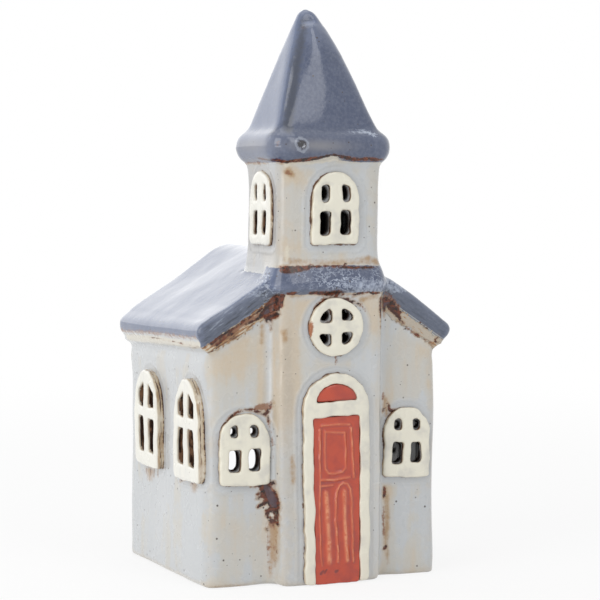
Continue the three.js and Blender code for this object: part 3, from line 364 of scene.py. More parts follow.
class ClaySettings(bpy.types.PropertyGroup):
    """How the rolled clay was worked"""

    grain: length("Grain", "Smallest detail of the clay body", 1.06)
    warp: length("Warp", "How far the slabs stand out of true", 0.8)
    ripple: length("Ripple", "Height of the finger-worked ripples", 0.28)
    cut_wobble: length("Cut wobble", "Wobble of hand-cut outlines", 0.42)
    grow: length("Slip fill", "How far slabs swell to close the slip lines", 0.3)


class GlazeSettings(bpy.types.PropertyGroup):
    """Colours of the glazes"""

    stone: shade("Stone", "Glaze on the walls", (0.565, 0.552, 0.512))
    stone_pooled: shade("Stone, pooled", "Wall glaze where it lies thick", (0.545, 0.57, 0.59))
    stone_thin: shade("Stone, thin", "Wall glaze where it breaks over edges", (0.6, 0.5, 0.37))
    slate: shade("Slate", "Glaze on the roofs", (0.058, 0.078, 0.145))
    slate_thin: shade("Slate, thin", "Roof glaze where it breaks over edges", (0.165, 0.195, 0.285))
    cream: shade("Cream", "Glaze on windows and door surround", (0.82, 0.79, 0.67))
    red: shade("Red", "Glaze on the door", (0.53, 0.06, 0.02))
    red_thin: shade("Red, thin", "Door glaze where it breaks over the mouldings", (0.76, 0.3, 0.15))
    tan: shade("Iron wash", "Thin iron stain", (0.37, 0.215, 0.085))
    umber: shade("Iron", "Thick iron stain", (0.055, 0.013, 0.006))
    iron_bloom: shade("Iron bloom", "Purplish middle of thick stains", (0.09, 0.056, 0.068))


class StageSettings(bpy.types.PropertyGroup):
    """Camera and light"""

    camera_place: bpy.props.FloatVectorProperty(
        name="Camera", description="Where the camera stands", subtype="TRANSLATION",
        default=(-0.3587, -0.8422, 0.1593))
    camera_azimuth: bpy.props.FloatProperty(
        name="Azimuth", description="View from +Y towards +X", subtype="ANGLE", default=math.radians(22.93))
    camera_dip: bpy.props.FloatProperty(
        name="Dip", description="How far the view points down", subtype="ANGLE", default=math.radians(2.75))
    lens: bpy.props.FloatProperty(name="Lens", description="Focal length in millimetres", default=131.36)
    key: power("Key", "Power of the large lamp on the left", 4.7)
    front: power("Front", "Power of the lamp at the front right", 1.45)
    bounce: power("Bounce", "Power of the low light on the left", 1.1)
    sweep: power("Sweep", "Power of the lit sweep behind", 4.0)
    top: power("Top", "Power of the lamp above", 2.0)
    room: bpy.props.FloatProperty(name="Room", description="Brightness of the room", default=0.61)


# Mesh work

def ramp(value, start, reach):
    """0 up to start, then rising to 1 over the reach. A reach below 0 rises the other way."""
    return np.clip((value - start) / reach, 0, 1)


def hill(value, middle, width):
    """1 at the middle, falling off softly on both sides."""
    return np.exp(-((value - middle) / width) ** 2)


def link(name, mesh):
    """A new object for a mesh, curve, lamp or camera, in the scene."""
    obj = bpy.data.objects.new(name, mesh)
    bpy.context.scene.collection.objects.link(obj)
    return obj


def merged_copy(nodes, grow):
    """A bmesh of merged copies of CAD nodes, every face moved outwards by grow."""
    bm = bmesh.new()
    for node in nodes:
        bm.from_mesh(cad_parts[node].data)
    bmesh.ops.remove_doubles(bm, verts=bm.verts, dist=0.002 * MM)
    bm.normal_update()
    for v, step in [(v, v.normal * grow * min(v.calc_shell_factor(), 1.8)) for v in bm.verts]:
        v.co += step
    return bm


def remeshed(bm, name, voxel):
    """The bmesh as one continuous skin of small even faces."""
    rough = bpy.data.meshes.new(name + "_rough")
    bm.to_mesh(rough)
    bm.free()
    source = link(name + "_rough", rough)
    modifier = source.modifiers.new("clay", "REMESH")
    modifier.mode, modifier.voxel_size = "VOXEL", voxel
    modifier.use_smooth_shade = True
    mesh = evaluated(source)
    mesh.name = name
    bpy.data.meshes.remove(rough)
    return link(name, mesh)


def evaluated(source):
    """The mesh that an object's modifiers or its curve make. The object goes."""
    graph = bpy.context.evaluated_depsgraph_get()
    mesh = bpy.data.meshes.new_from_object(source.evaluated_get(graph))
    bpy.data.objects.remove(source)
    return mesh


def read(items, name, width=1, kind=float):
    """One property of every vertex, edge or face, a row for each."""
    out = np.empty(len(items) * width, dtype=kind)
    items.foreach_get(name, out)
    return out.reshape(-1, width) if width > 1 else out


def points_of(mesh):
    return read(mesh.vertices, "co", 3)


def normals_of(mesh):
    return read(mesh.vertex_normals, "vector", 3)


def edges_of(mesh):
    return read(mesh.edges, "vertices", 2, np.int64)


def put_points(mesh, points):
    mesh.vertices.foreach_set("co", points.ravel())
    mesh.update()


def neighbour_mean(points, edges):
    """The mean of each point's neighbours."""
    a, b = edges.T
    count = len(points)
    valence = np.maximum(np.bincount(a, minlength=count) + np.bincount(b, minlength=count), 1)
    sums = [np.bincount(a, points[b, k], count) + np.bincount(b, points[a, k], count) for k in range(3)]
    return np.stack(sums, axis=1) / valence[:, None]


def soften(points, edges, rounds, rebound, weight=1.0):
    """Rounds off edges. The rebound undoes a part of the shrinking, 0.52 nearly all of it."""
    points = points.copy()
    weight = np.broadcast_to(weight, len(points))[:, None]
    for _ in range(rounds):
        points += 0.5 * weight * (neighbour_mean(points, edges) - points)
        if rebound:
            points -= rebound * weight * (neighbour_mean(points, edges) - points)
    return points


def spread(values, edges, rounds):
    """Values at the points, evened out with their neighbours."""
    for _ in range(rounds):
        values = 0.5 * values + 0.5 * neighbour_mean(np.stack([values] * 3, axis=1), edges)[:, 0]
    return values


def ripples(points, wavelength, seed):
    """Smooth noise from -1 to 1 at each point."""
    shift = Vector((seed * 13.7, seed * 5.3, seed * 9.1))
    return np.array([noise.noise(Vector(p) / wavelength + shift) for p in points])


def warped(points, amount):
    """Points of the church after the slabs were stood up by hand, a little out of true. The foot stays flat, and
    so does the seat of the tealight."""
    step = np.stack([ripples(points, 45 * MM, seed) for seed in (1, 2, 3)], axis=1)
    step *= amount
    step[:, 2] *= ramp(points[:, 2], 0, 30 * MM)
    seat = (np.hypot(points[:, 0], points[:, 1] - 4.9 * MM) < 30 * MM) & (points[:, 2] < 12 * MM)
    step[seat] = 0
    out = points + step
    out[:, 2] = np.maximum(out[:, 2], 0)
    return out


def set_fields(mesh, **fields):
    """Numbers at every vertex, for the materials to read."""
    for name, values in fields.items():
        field = mesh.attributes.get(name) or mesh.attributes.new(name, "FLOAT", "POINT")
        field.data.foreach_set("value", np.asarray(values, dtype=np.float32))


def distance_to(points, nodes, cap):
    """Distance from each point to the nearest of some CAD nodes in millimetres, at most the cap."""
    corners, faces = [], []
    for node in nodes:
        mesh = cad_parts[node].data
        faces += [[k + len(corners) for k in face.vertices] for face in mesh.polygons]
        corners += [v.co for v in mesh.vertices]
    tree = BVHTree.FromPolygons(corners, faces)
    found = (tree.find_nearest(Vector(p), cap)[3] for p in points)
    return np.array([cap if reach is None else reach for reach in found]) / MM


def along(spots, a, b):
    """How far along the line from a to b each spot lies, as a share, and its distance from the line."""
    run = b - a
    share = np.clip((spots - a) @ run / max(run @ run, 1e-6), 0, 1)
    return share, np.linalg.norm(spots - a - share[:, None] * run, axis=1)


def stroke_field(points, strokes, flat=(1, 0.3, 1)):
    """How deep each point lies inside the nearest stroke, in millimetres, below 0 outside. Flat is how much each
    axis counts."""
    best = np.full(len(points), -3.0)
    flat = np.array(flat)
    spots = points / MM * flat
    for stroke in strokes:
        for start, end in zip(stroke, stroke[1:]):
            share, away = along(spots, np.array(start[:3]) * flat, np.array(end[:3]) * flat)
            best = np.maximum(best, start[3] + (end[3] - start[3]) * share + 0.2 - away)
    return best


def patch_field(points, patches):
    """Soft patches, each with its own strength."""
    total = np.zeros(len(points))
    for middle, size, strength in patches:
        offset = (points - np.array(middle) * MM) / (np.array(size) * MM)
        total = np.maximum(total, strength * np.exp(-np.sum(offset ** 2, axis=1)))
    return total


def relief_of(mesh, edges, rounds, scale):
    """Above 0 in hollows and below 0 on edges, about 1 at its strongest."""
    points = points_of(mesh)
    coarse = soften(points, edges, rounds, 0)
    lift = np.einsum("ij,ij->i", coarse - points, normals_of(mesh))
    return np.clip(lift / scale, -1.5, 1.5)


def finish_piece(obj, body, slot, *nodes):
    """Puts a piece on its body, gives it its glaze and hides the CAD nodes that it stands for."""
    obj.data.materials.append(glaze(slot))
    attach(obj, body)
    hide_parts(*nodes)


def luted_clay():
    """Walls, roof, bell chamber and spire as one skin, soft where the slabs are luted together."""
    clay = bpy.context.scene.church_clay
    nodes = [node for piece in CLAY_PIECES for node in piece[1]]
    obj = remeshed(merged_copy(nodes, clay.grow), "luted_clay", clay.grain)
    mesh = obj.data
    edges = edges_of(mesh)
    points = soften(points_of(mesh), edges, 11, 0.22)
    x, y, z = (points / MM).T
    points = soften(points, edges, 11, 0.12, ramp(z, 169.0, 5.0))
    valley = hill(np.abs(x), 25.5, 4.5) * hill(y, -46.0, 5.0) * ramp(z, 112.0, -8.0)
    points = soften(points, edges, 26, 0, valley)
    eave = ramp(np.abs(x), 48.5, 3.0) * ramp(z, 92.0, 3.0) * ramp(z, 112.0, -3.0)
    points = soften(points, edges, 16, 0.1, eave * ramp(y, -45.0, 3.0))
    put_points(mesh, points)
    points = fitted(points - normals_of(mesh) * clay.grow * 0.5)
    put_points(mesh, points)
    return obj, points, edges


def eave_tilt(x, y):
    """How far the left eave stands too high or too low: it sinks towards the back."""
    return np.where(x < 0, np.interp(y, [-45.0, 53.0], [1.6, -1.2]), 0.0)


def fitted(points):
    """Points moved to the uneven outline of the modelled church. All numbers are millimetres."""
    x, y, z = (points / MM).T
    # The spire is fuller on its right.
    lean = ramp(z, 176.0, 54.0)
    away = np.stack([x - (-1.0 - 4.0 * lean), y + 29.9 + 5.0 * lean], axis=1)
    reach = np.maximum(np.linalg.norm(away, axis=1), 0.5)
    right = 0.5 + 0.5 * (0.92 * away[:, 0] - 0.39 * away[:, 1]) / reach
    height = [0, 170, 174, 188, 200, 212, 222, 228, 260]
    push = (1 - right) * np.interp(z, height, [0, 0, 0.5, 0.7, 0.6, 0.9, 0.8, 0.3, 0])
    push += right * np.interp(z, height, [0, 0.2, 0.6, 1.5, 2.8, 3.2, 2.8, 1.4, 0])
    x = x + away[:, 0] / reach * push
    y = y + away[:, 1] / reach * push
    # The side walls splay at the foot.
    splay_left = ramp(z, 44.0, -22.0)
    splay_right = 0.9 * ramp(z, 92.0, -24.0) - 0.4 * ramp(z, 6.0, -6.0)
    x = x + ramp(np.abs(x), 24.0, 22.0) * np.where(x < 0, -splay_left, splay_right)
    # The eaves are undercut, and bulge beside that.
    below = ramp(np.abs(x), 48.0, 2.5) * np.maximum(ramp(y, -44.5, 3.0), x > 0)
    levels = [86.5, 88.0, 90.0, 92.0, 94.0, 96.0, 98.0]
    tuck_left = np.interp(z, levels, [0, 0.2, 0.9, 1.5, 1.2, 1.1, 0.3])
    tuck_right = np.interp(z, levels, [0, 0.3, 1.3, 2.5, 2.3, 1.1, 0])
    x = x - np.sign(x) * below * np.where(x < 0, tuck_left, tuck_right)
    x = x + 0.8 * ramp(x, 30.0, 20.0) * ramp(z, 93.0, 4.0)
    x = x - 0.8 * ramp(x, -40.0, -8.0) * hill(z, 87.0, 7.0)
    # The left eave is tilted, the left roof sags and the right one is bowed.
    tilt = eave_tilt(x, y) * ramp(x, -30.0, -15.0) * ramp(z, 84.0, 5.0)
    z = z + tilt * np.where(tilt > 0, ramp(z, 112.0, -8.0), ramp(z, 101.5, -3.0))
    z = z - 1.1 * hill(x, -26.0, 12.0) * ramp(y, 0, 40.0) * ramp(z, 98.0, 4.0)
    bow = ramp(x, 23.0, 6.0) * ramp(x, 53.0, -14.0) * ramp(z, 92.0, 6.0)
    z = z + 1.3 * bow * ramp(z, 140.0, -5.0)
    return np.stack([x, y, z], axis=1) * MM


def clay_fields(mesh, points, edges):
    """What the glaze needs to know at each point of the clay. Also gives each point's piece."""
    x, y, z = (points / MM).T
    normal_x, normal_y, normal_z = normals_of(mesh).T
    away = np.array([distance_to(points, nodes, 12 * MM) for _, nodes, _ in CLAY_PIECES])
    walls, roof, bell, spire = away
    seam = np.sort(away, axis=0)[1]
    halo = distance_to(points, FRONT_PLATES + LEFT_PLATES + RIGHT_PLATES + ("door_surround",), 10 * MM)

    # Slate glaze runs down over the top of the bell chamber and ends on a line along the eaves.
    slate = spread(np.minimum(walls, bell) - np.minimum(roof, spire), edges, 3)
    run_down = np.interp(x, (-24, -14, -8, -0.3, 4, 14, 23), (0.1, 0.5, 1.2, 2.9, 2.0, 1.3, 0.9))
    slate = slate - run_down * (y < -36.0) * (z > 164.0) * (z < 178.0)
    under_edge = (np.abs(x) > 49.0) & (y > -42.0) & (z < 103.0) & (z > 90.0)
    eave = EAVE_LINE + eave_tilt(x, y)
    slate = np.where(under_edge, np.minimum(slate, z - eave), slate)

    # Iron bleeds out of the seams, but not on the front or round the skirt.
    bleeding = 1 - (seam - 0.4) / np.where(z > 160.0, 1.5, 0.9)
    bell_side = (z > 112.0) & (z < 132.0) & ((y > -42.0) | (np.abs(x) > 24.0))
    bleeding[bell_side | ((y < -40.0) & (z > 92.0)) | ((z < 118.0) & (y > 50.0))] = -1.5

    # A strip of iron-soaked slip lies under the front verges: 1 in its middle, 0 at its edges, less beyond.
    strip = np.interp(x, (-50.0, -40.0, 0.0, 1.0), (3.4, 5.4, 5.4, 5.0))
    crust = np.clip(1 - np.abs(np.where(slate > 0.6, 9.0, seam) / strip - 0.5) / 0.5, -1, 1)
    crust[(y > -41.0) | (np.abs(x) < 21.5) | (z > 118.0)] = -1.0

    iron = np.maximum(stroke_field(points, IRON_STROKES), stroke_field(points, SIDE_STROKES, SIDE_FLAT))
    crown = (y < -45.0) & (z > 107.0) & (z < 116.0) & (np.abs(x + 0.5) < 8.5)
    iron = np.where(crown, np.maximum(iron, 0.35 - np.abs(halo - 0.2)), iron)
    eave_line = np.where(under_edge, 0.3 - 0.5 * np.abs(z - eave + 0.2), -3.0)
    pale = np.maximum(stroke_field(points, PALE_STROKES), stroke_field(points, SIDE_PALE, SIDE_FLAT))
    # Painted light: buff leans on which way a face looks, warmer on faces towards the front and cooler on faces
    # towards the left.
    facing = 0.2 + 0.12 * np.clip(-normal_y, 0, 1) - 0.3 * np.clip(-normal_x, 0, 1)

    # Frost on the skirt and on the shoulder of the roof beside it.
    skirt = ramp(y, -38.0, -4.0) * (z > 116.0) * (z < 130.0)
    lower_right = ramp(x, -12.0, 22.0) * ramp(z, 124.0, -3.0)
    shoulder = hill(x, -24, 3.5) * ramp(y, -50, 6) * ramp(y, -20, -12) * (z > 108.0) * (z < 126.0)
    frost_run = np.clip(stroke_field(points, FROST_STROKES) + 0.6, 0, 1)
    frost = np.maximum(np.maximum(skirt * (0.3 + 0.6 * lower_right), 0.6 * shoulder), frost_run)

    # The inner faces of the hollow, by how deep they lie behind the outside of each piece: bare clay, painted nearly
    # black as shade.
    skin = 0.1 + 1.9 * ramp(halo, 1.2, 2.5)
    nave_depth = np.minimum(np.minimum(49.5 - np.abs(x), y + 43.1), 52.9 - y)
    bay_depth = np.minimum(22.8 - np.abs(x), np.minimum(y + 50.1, 40.0 - y))
    bell_depth = np.minimum(21.85 - np.abs(x), 18.2 - np.abs(y + 29.9))
    soffit = (normal_z < -0.3) & (np.abs(x) < 45.5) & (y > -39.0) & (y < 48.5)
    hollow = (z < 184.0) & (normal_z < -0.2) & (np.abs(x) < 19) & (np.abs(y + 29.9) < 15)
    piece = np.argmin([spread(column, edges, 3) for column in away], axis=0)
    inside = [ramp(np.maximum(nave_depth, bay_depth), skin, 0.9) * ramp(z, 1.0, 1.5), soffit * 1.0,
              ramp(bell_depth, skin, 0.9), hollow * 1.0]

    set_fields(
        mesh, slate=slate, seam=np.clip(bleeding, -1.5, 1.2), crust=crust, halo=halo, iron=iron, pale=pale,
        frost=frost, inside=np.choose(piece, inside), relief=relief_of(mesh, edges, 12, 0.42 * MM),
        bloom=stroke_field(points, BLOOM_STROKES), tan=stroke_field(points, TAN_STROKES),
        brown=np.maximum(stroke_field(points, BROWN_STROKES), eave_line), worn=stroke_field(points, EDGE_DARK_STROKES),
        # Buff also holds painted light and shade. The two fields after it are painted light and painted shade.
        buff=facing + 0.85 * patch_field(points, BUFF_AND_SHADE_PATCHES), bright=patch_field(points, PAINTED_LIGHT_PATCHES),
        dull=patch_field(points, PAINTED_SHADE_PATCHES), blister=np.linalg.norm(points / MM - np.array(BLISTER), axis=1),
        # painted light: the next field is 1 on roof slopes facing up and on faces towards the left
        lit=ramp(normal_z, 0.35, 0.4) * (y > -44.0) + 0.8 * np.clip(-normal_x - 0.7, 0, 0.2) / 0.2)
    return piece


def part_of(mesh, faces, name):
    """A piece of a skin, with the skin's own fields and normals."""
    bm = bmesh.new()
    bm.from_mesh(mesh)
    bm.faces.ensure_lookup_table()
    bmesh.ops.delete(bm, geom=[bm.faces[k] for k in np.where(~faces)[0]], context="FACES")
    made = bpy.data.meshes.new(name)
    bm.to_mesh(made)
    bm.free()
    made.shade_smooth()
    normals = read(made.attributes["skin_normal"].data, "vector", 3)
    made.normals_split_custom_set_from_vertices(normals.tolist())
    made.attributes.remove(made.attributes["skin_normal"])
    return link(name, made)


# Node work

class Wire:
    """What comes out of a node. Sums and products of wires lay math nodes."""

    def __init__(self, graph, socket):
        self.graph, self.socket = graph, socket

    def __add__(self, other):
        return self.graph.math("ADD", self, other)

    def __sub__(self, other):
        return self.graph.math("SUBTRACT", self, other)

    def __rsub__(self, other):
        return self.graph.math("SUBTRACT", other, self)

    def __mul__(self, other):
        return self.graph.math("MULTIPLY", self, other)

    def __truediv__(self, other):
        return self.graph.math("DIVIDE", self, other)

    def __abs__(self):
        return self.graph.math("ABSOLUTE", self)

    def max(self, other):
        return self.graph.math("MAXIMUM", self, other)

    def span(self, low, high, to_low=0.0, to_high=1.0):
        """Maps low to high onto to_low to to_high, smoothly."""
        ends = {"Value": self, "From Min": low, "From Max": high, "To Min": to_low, "To Max": to_high}
        return self.graph.out("ShaderNodeMapRange", ends, interpolation_type="SMOOTHSTEP")


class Graph:
    """Lays nodes in an emptied node tree. A string fed to a socket is a field of the mesh."""

    place = None

    def __init__(self, tree):
        self.tree = tree
        tree.nodes.clear()

    def add(self, kind, inputs=None, **settings):
        made = self.tree.nodes.new(kind)
        for name, value in settings.items():
            setattr(made, name, value)
        for key, value in (inputs or {}).items():
            self.feed(made.inputs[key], value)
        return made

    def out(self, kind, inputs=None, output=0, **settings):
        """A new node, as the wire of one of its outputs."""
        return Wire(self, self.add(kind, inputs, **settings).outputs[output])

    def outs(self, kind, inputs=None, **settings):
        """A new node, as its wires by name."""
        return {socket.name: Wire(self, socket) for socket in self.add(kind, inputs, **settings).outputs}

    def feed(self, socket, value):
        if isinstance(value, str):
            value = self.field(value)
        if isinstance(value, Wire):
            self.tree.links.new(value.socket, socket)
        else:
            socket.default_value = (*value, 1) if socket.type == "RGBA" else value

    def math(self, operation, a, b=0.0, clamp=False):
        return self.out("ShaderNodeMath", {0: a, 1: b}, operation=operation, use_clamp=clamp)

    def layers(self, colour, *coats):
        """A colour under coats of paint, each with the mask that it lies in."""
        for paint, mask in coats:
            colour = self.out("ShaderNodeMix", {0: mask, 6: colour, 7: paint}, 2, data_type="RGBA")
        return colour

    def clouds(self, scale, detail=3.0, roughness=0.5, place=None):
        """Noise from 0 to 1. A scale for each axis stretches it."""
        place = place or self.place
        if not isinstance(scale, float):
            place, scale = self.out("ShaderNodeMapping", {"Vector": place, "Scale": scale}), 1.0
        inputs = {"Vector": place, "Scale": scale, "Detail": detail, "Roughness": roughness}
        return self.out("ShaderNodeTexNoise", inputs)

    def field(self, name):
        return self.out("ShaderNodeAttribute", output="Fac", attribute_name=name)

    def axes(self):
        return self.outs("ShaderNodeSeparateXYZ", {0: self.place}).values()

    def effect(self, name, **inputs):
        """The wires out of a shared node group."""
        tree = bpy.data.node_groups.get(name) or GROUPS[name](name)
        return self.outs("ShaderNodeGroup", {"Vector": self.place, **inputs}, node_tree=tree)

    def cover(self, shader, colour, roughness, height, depth):
        """Gives the shader its colour, its roughness and a bump of some depth."""
        bump = self.out("ShaderNodeBump", {"Height": height, "Distance": depth, "Strength": 1.0})
        for name, value in (("Base Color", colour), ("Roughness", roughness), ("Normal", bump)):
            self.feed(shader.inputs[name], value)


def new_group(name, inputs, outputs):
    """An empty node group with sockets of these names, its graph and its inputs."""
    tree = bpy.data.node_groups.new(name, "ShaderNodeTree")
    kinds = {"Vector": "NodeSocketVector", "Color": "NodeSocketColor"}
    for direction, labels in (("INPUT", "Vector " + inputs), ("OUTPUT", outputs)):
        for label in labels.split():
            tree.interface.new_socket(label, in_out=direction, socket_type=kinds.get(label, "NodeSocketFloat"))
    g = Graph(tree)
    taken = g.outs("NodeGroupInput")
    g.place = taken["Vector"]
    return g, taken


def specks_group(name):
    """Iron specks: round dots, one in some of the cells of a loose grid."""
    g, i = new_group(name, "Spacing Share Size", "Mask")
    cells = g.outs("ShaderNodeTexVoronoi", {"Vector": g.place, "Scale": i["Spacing"], "Randomness": 1.0})
    parts = g.outs("ShaderNodeSeparateColor", {0: cells["Color"]})
    chosen = g.math("LESS_THAN", parts["Red"], i["Share"])
    size = i["Size"] * (parts["Green"] * 0.9 + 0.35)
    near = g.math("SUBTRACT", 1.0, cells["Distance"] / size, clamp=True)
    g.add("NodeGroupOutput", {"Mask": chosen * near.span(0.05, 0.55)})
    return g.tree


def runs_group(name):
    """Soft streaks where glaze ran down the wall."""
    g, i = new_group(name, "Across Along", "Streaks Clouds")
    stretch = g.out("ShaderNodeCombineXYZ", {0: i["Across"], 1: i["Across"], 2: i["Along"]})
    g.add("NodeGroupOutput", {"Streaks": g.clouds(stretch, 4.0, 0.55).span(0.34, 0.66),
                              "Clouds": g.clouds(55.0, 4.0, 0.6).span(0.35, 0.65)})
    return g.tree


def thickness_group(name):
    """Where glaze pools and where it breaks, from the relief and the distance to what is applied."""
    g, i = new_group(name, "Relief Halo Reach", "Pooled Thin")
    rough = (g.clouds(220.0, 4.0, 0.6) - 0.5) * 0.9
    ring = (i["Halo"] / i["Reach"] + rough * 0.3).span(0.35, 1.0, 1.0, 0.0)
    g.add("NodeGroupOutput", {"Pooled": (i["Relief"] + rough * 0.4).span(0.12, 0.75).max(ring),
                              "Thin": (i["Relief"] * -1.0 + rough).span(0.22, 0.95)})
    return g.tree


def bleed_group(name):
    """Iron that bled out of seams and stains. Seam is 1 on the seam and 0 at the end of its reach; the others are
    depths inside a stroke in millimetres."""
    g, i = new_group(name, "Seam Iron Bloom Brown Tan", "Wash Brown Core Bloom")
    coarse = g.clouds(140.0, 3.0, 0.6) - 0.5
    ragged = g.clouds(620.0, 4.0, 0.7) - 0.5
    rough = ragged * 1.5 + coarse * 0.6
    seam = i["Seam"] + (coarse * 1.9 + ragged * 1.6)
    iron = i["Iron"] + rough
    halo = (iron + coarse * 1.5).span(-0.8, -0.1)
    g.add("NodeGroupOutput", {
        "Wash": (i["Tan"] + rough * 1.5).span(-0.8, 1.3).max((halo * 0.6).max(seam.span(0.0, 0.6))),
        "Brown": (i["Brown"] + rough * 1.6).span(-0.35, 0.5),
        "Core": iron.span(-0.2, 0.2).max(seam.span(0.42, 0.72)),
        "Bloom": (i["Bloom"] + rough).span(0.0, 0.35)})
    return g.tree


def pitch_group(name):
    """Threads that run along the pitch of the verges."""
    g, _ = new_group(name, "", "Threads")
    x, _, z = g.axes()
    along = abs(x) * PITCH_RUN - z * PITCH_RISE
    across = abs(x) * PITCH_RISE + z * PITCH_RUN
    turned = g.out("ShaderNodeCombineXYZ", {0: along * 130.0, 1: across * 900.0, 2: 0.5})
    g.add("NodeGroupOutput", {"Threads": g.clouds(1.0, 5.0, 0.62, turned)})
    return g.tree


def crust_group(name):
    """Slip under the verges: cream lumps and brown threads along the pitch, darker on the left."""
    g, i = new_group(name, "Strip Threads", "Color Mask Lumps")
    x, _, _ = g.axes()
    lumps = g.clouds(600.0, 3.0, 0.6)
    mixed = (i["Threads"] * 0.75 + lumps * 0.25) - x.span(-0.004, 0.03, 0.0, 0.11)
    mask = (i["Strip"] + (lumps - 0.5) * 2.4).span(0.0, 0.3)
    colour = g.layers(SLIP_LEFT, (SLIP_RIGHT, x.span(-0.004, 0.02)), (SLIP_TAN, mixed.span(0.46, 0.52)),
                      (SLIP_DARK, mixed.span(0.54, 0.6)))
    g.add("NodeGroupOutput", {"Color": colour, "Mask": mask, "Lumps": (1.0 - mixed) * mask})
    return g.tree


def surface_group(name):
    """Unevenness of a fired glaze: soft ripples, fine dimples and patches of gloss."""
    g, i = new_group(name, "Dimples", "Height Gloss")
    height = g.clouds(130.0, 2.0) * 0.8 + (g.clouds(900.0, 2.0) * i["Dimples"]) * 0.2
    g.add("NodeGroupOutput", {"Height": height, "Gloss": g.clouds(60.0, 3.0, 0.6)})
    return g.tree


GROUPS = {"Iron specks": specks_group, "Glaze runs": runs_group, "Glaze thickness": thickness_group,
          "Iron bleed": bleed_group, "Pitch": pitch_group, "Slip crust": crust_group, "Glaze surface": surface_group}


def clay_glaze(g, shader, paints):
    """The church's own glazes: pale stone on the walls, slate on the roofs, each running into the other at the
    seams, and painted shade, nearly black, inside the hollow."""
    x, _, _ = g.axes()
    thick = g.effect("Glaze thickness", Relief="relief", Halo="halo", Reach=4.4)
    bleed = g.effect("Iron bleed", Seam="seam", Iron="iron", Bloom="bloom", Brown="brown", Tan="tan")
    big = g.effect("Iron specks", Spacing=235.0, Share=0.8, Size=0.12)["Mask"]
    small = g.effect("Iron specks", Spacing=420.0, Share=0.35, Size=0.11)["Mask"]
    threads = g.effect("Pitch")["Threads"]
    crust = g.effect("Slip crust", Strip="crust", Threads=threads)
    surface = g.effect("Glaze surface", Dimples=1.0)
    halo, inside = g.field("halo"), g.field("inside")
    edge = g.clouds(300.0, 4.0, 0.6) - 0.5
    grains = g.clouds(560.0, 4.0, 0.65)
    slate = (g.field("slate") + edge * x.span(0.02, 0.026, 2.0, 0.8)).span(-0.25, 0.25)
    outline = ((0.42 - halo) + edge * 2.0).span(0.0, 0.3)
    core = g.layers(paints.umber, (CORE_RED, threads.span(0.42, 0.56)), (CORE_PALE, threads.span(0.6, 0.68) * 0.7),
                    (CORE_BLACK, grains.span(0.5, 0.43) * 0.85), (CORE_RUST, grains.span(0.6, 0.7) * 0.6))
    # Painted shade: the inside of the hollow nearly black, with patches of bare clay colour.
    shaded_inside = g.layers(INSIDE_SHADE, (BARE_CLAY, g.clouds(160.0, 4.0, 0.65).span(0.46, 0.7)))
    colour = g.layers(
        stone_colour(g, paints, thick),
        (slate_colour(g, paints, thick), slate),
        (crust["Color"], crust["Mask"]),
        (paints.tan, bleed["Wash"] * slate.span(0.2, 0.9, 0.85, 0.12)),
        (CREAM_SLIP, (g.field("pale") + edge * 2.5).span(-0.4, 0.6) * 0.8),
        (THIN_IRON, bleed["Brown"] * 0.9),
        (PLATE_LINE, outline * g.clouds(110.0, 4.0, 0.65).span(0.38, 0.52)),
        (core, bleed["Core"]),
        (paints.iron_bloom, bleed["Bloom"] * 0.9),
        (WALL_SPECK, big.max(small) * 0.92),
        (shaded_inside, inside))
    pressed = halo.span(1.6, 3.0) * halo.span(3.0, 4.2, 1.0, 0.0)
    on_walls = surface["Gloss"].span(0.3, 0.7, 0.2, 0.36)
    on_roofs = surface["Gloss"].span(0.3, 0.7, 0.07, 0.15) + g.field("frost") * 0.2
    roughness = g.out("ShaderNodeMix", {0: slate, 2: on_walls, 3: on_roofs}, data_type="FLOAT")
    g.feed(shader.inputs["Coat Weight"], inside.max(bleed["Core"]).span(0.0, 1.0, 0.5, 0.05))
    g.cover(shader, colour, roughness, surface["Height"] + crust["Lumps"] * 3.0 + pressed * 1.1, 0.2 * MM)


def stone_colour(g, paints, thick):
    """Wall glaze: cool where it lies thick, buff where it is thin, streaked downwards."""
    runs = g.effect("Glaze runs", Across=95.0, Along=9.0)
    buff_and_shade = g.field("buff") + (runs["Streaks"] - 0.5) * 0.8 + (runs["Clouds"] - 0.5) * 0.6
    return g.layers(
        paints.stone_pooled,
        (paints.stone, buff_and_shade.span(0.0, 0.5)),
        (paints.stone_thin, buff_and_shade.span(0.45, 1.3) * 0.9),
        # painted shade: where buff runs strongest it deepens, as in the valley beside the tower
        (PAINTED_SHADE_BUFF, buff_and_shade.span(1.3, 2.3) * 0.8),
        (paints.stone_pooled, thick["Pooled"]),
        (paints.stone_thin, thick["Thin"] * 0.4),
        # painted light right of the door
        (PAINTED_LIGHT_STONE, g.field("bright") * 0.5),
        # painted shade on the bell chamber's left side and the tower's left corner
        (PAINTED_SHADE_STONE, g.field("dull") * 0.6),
        (CHALK, g.clouds(900.0, 4.0, 0.7).span(0.3, 0.7) * 0.16))


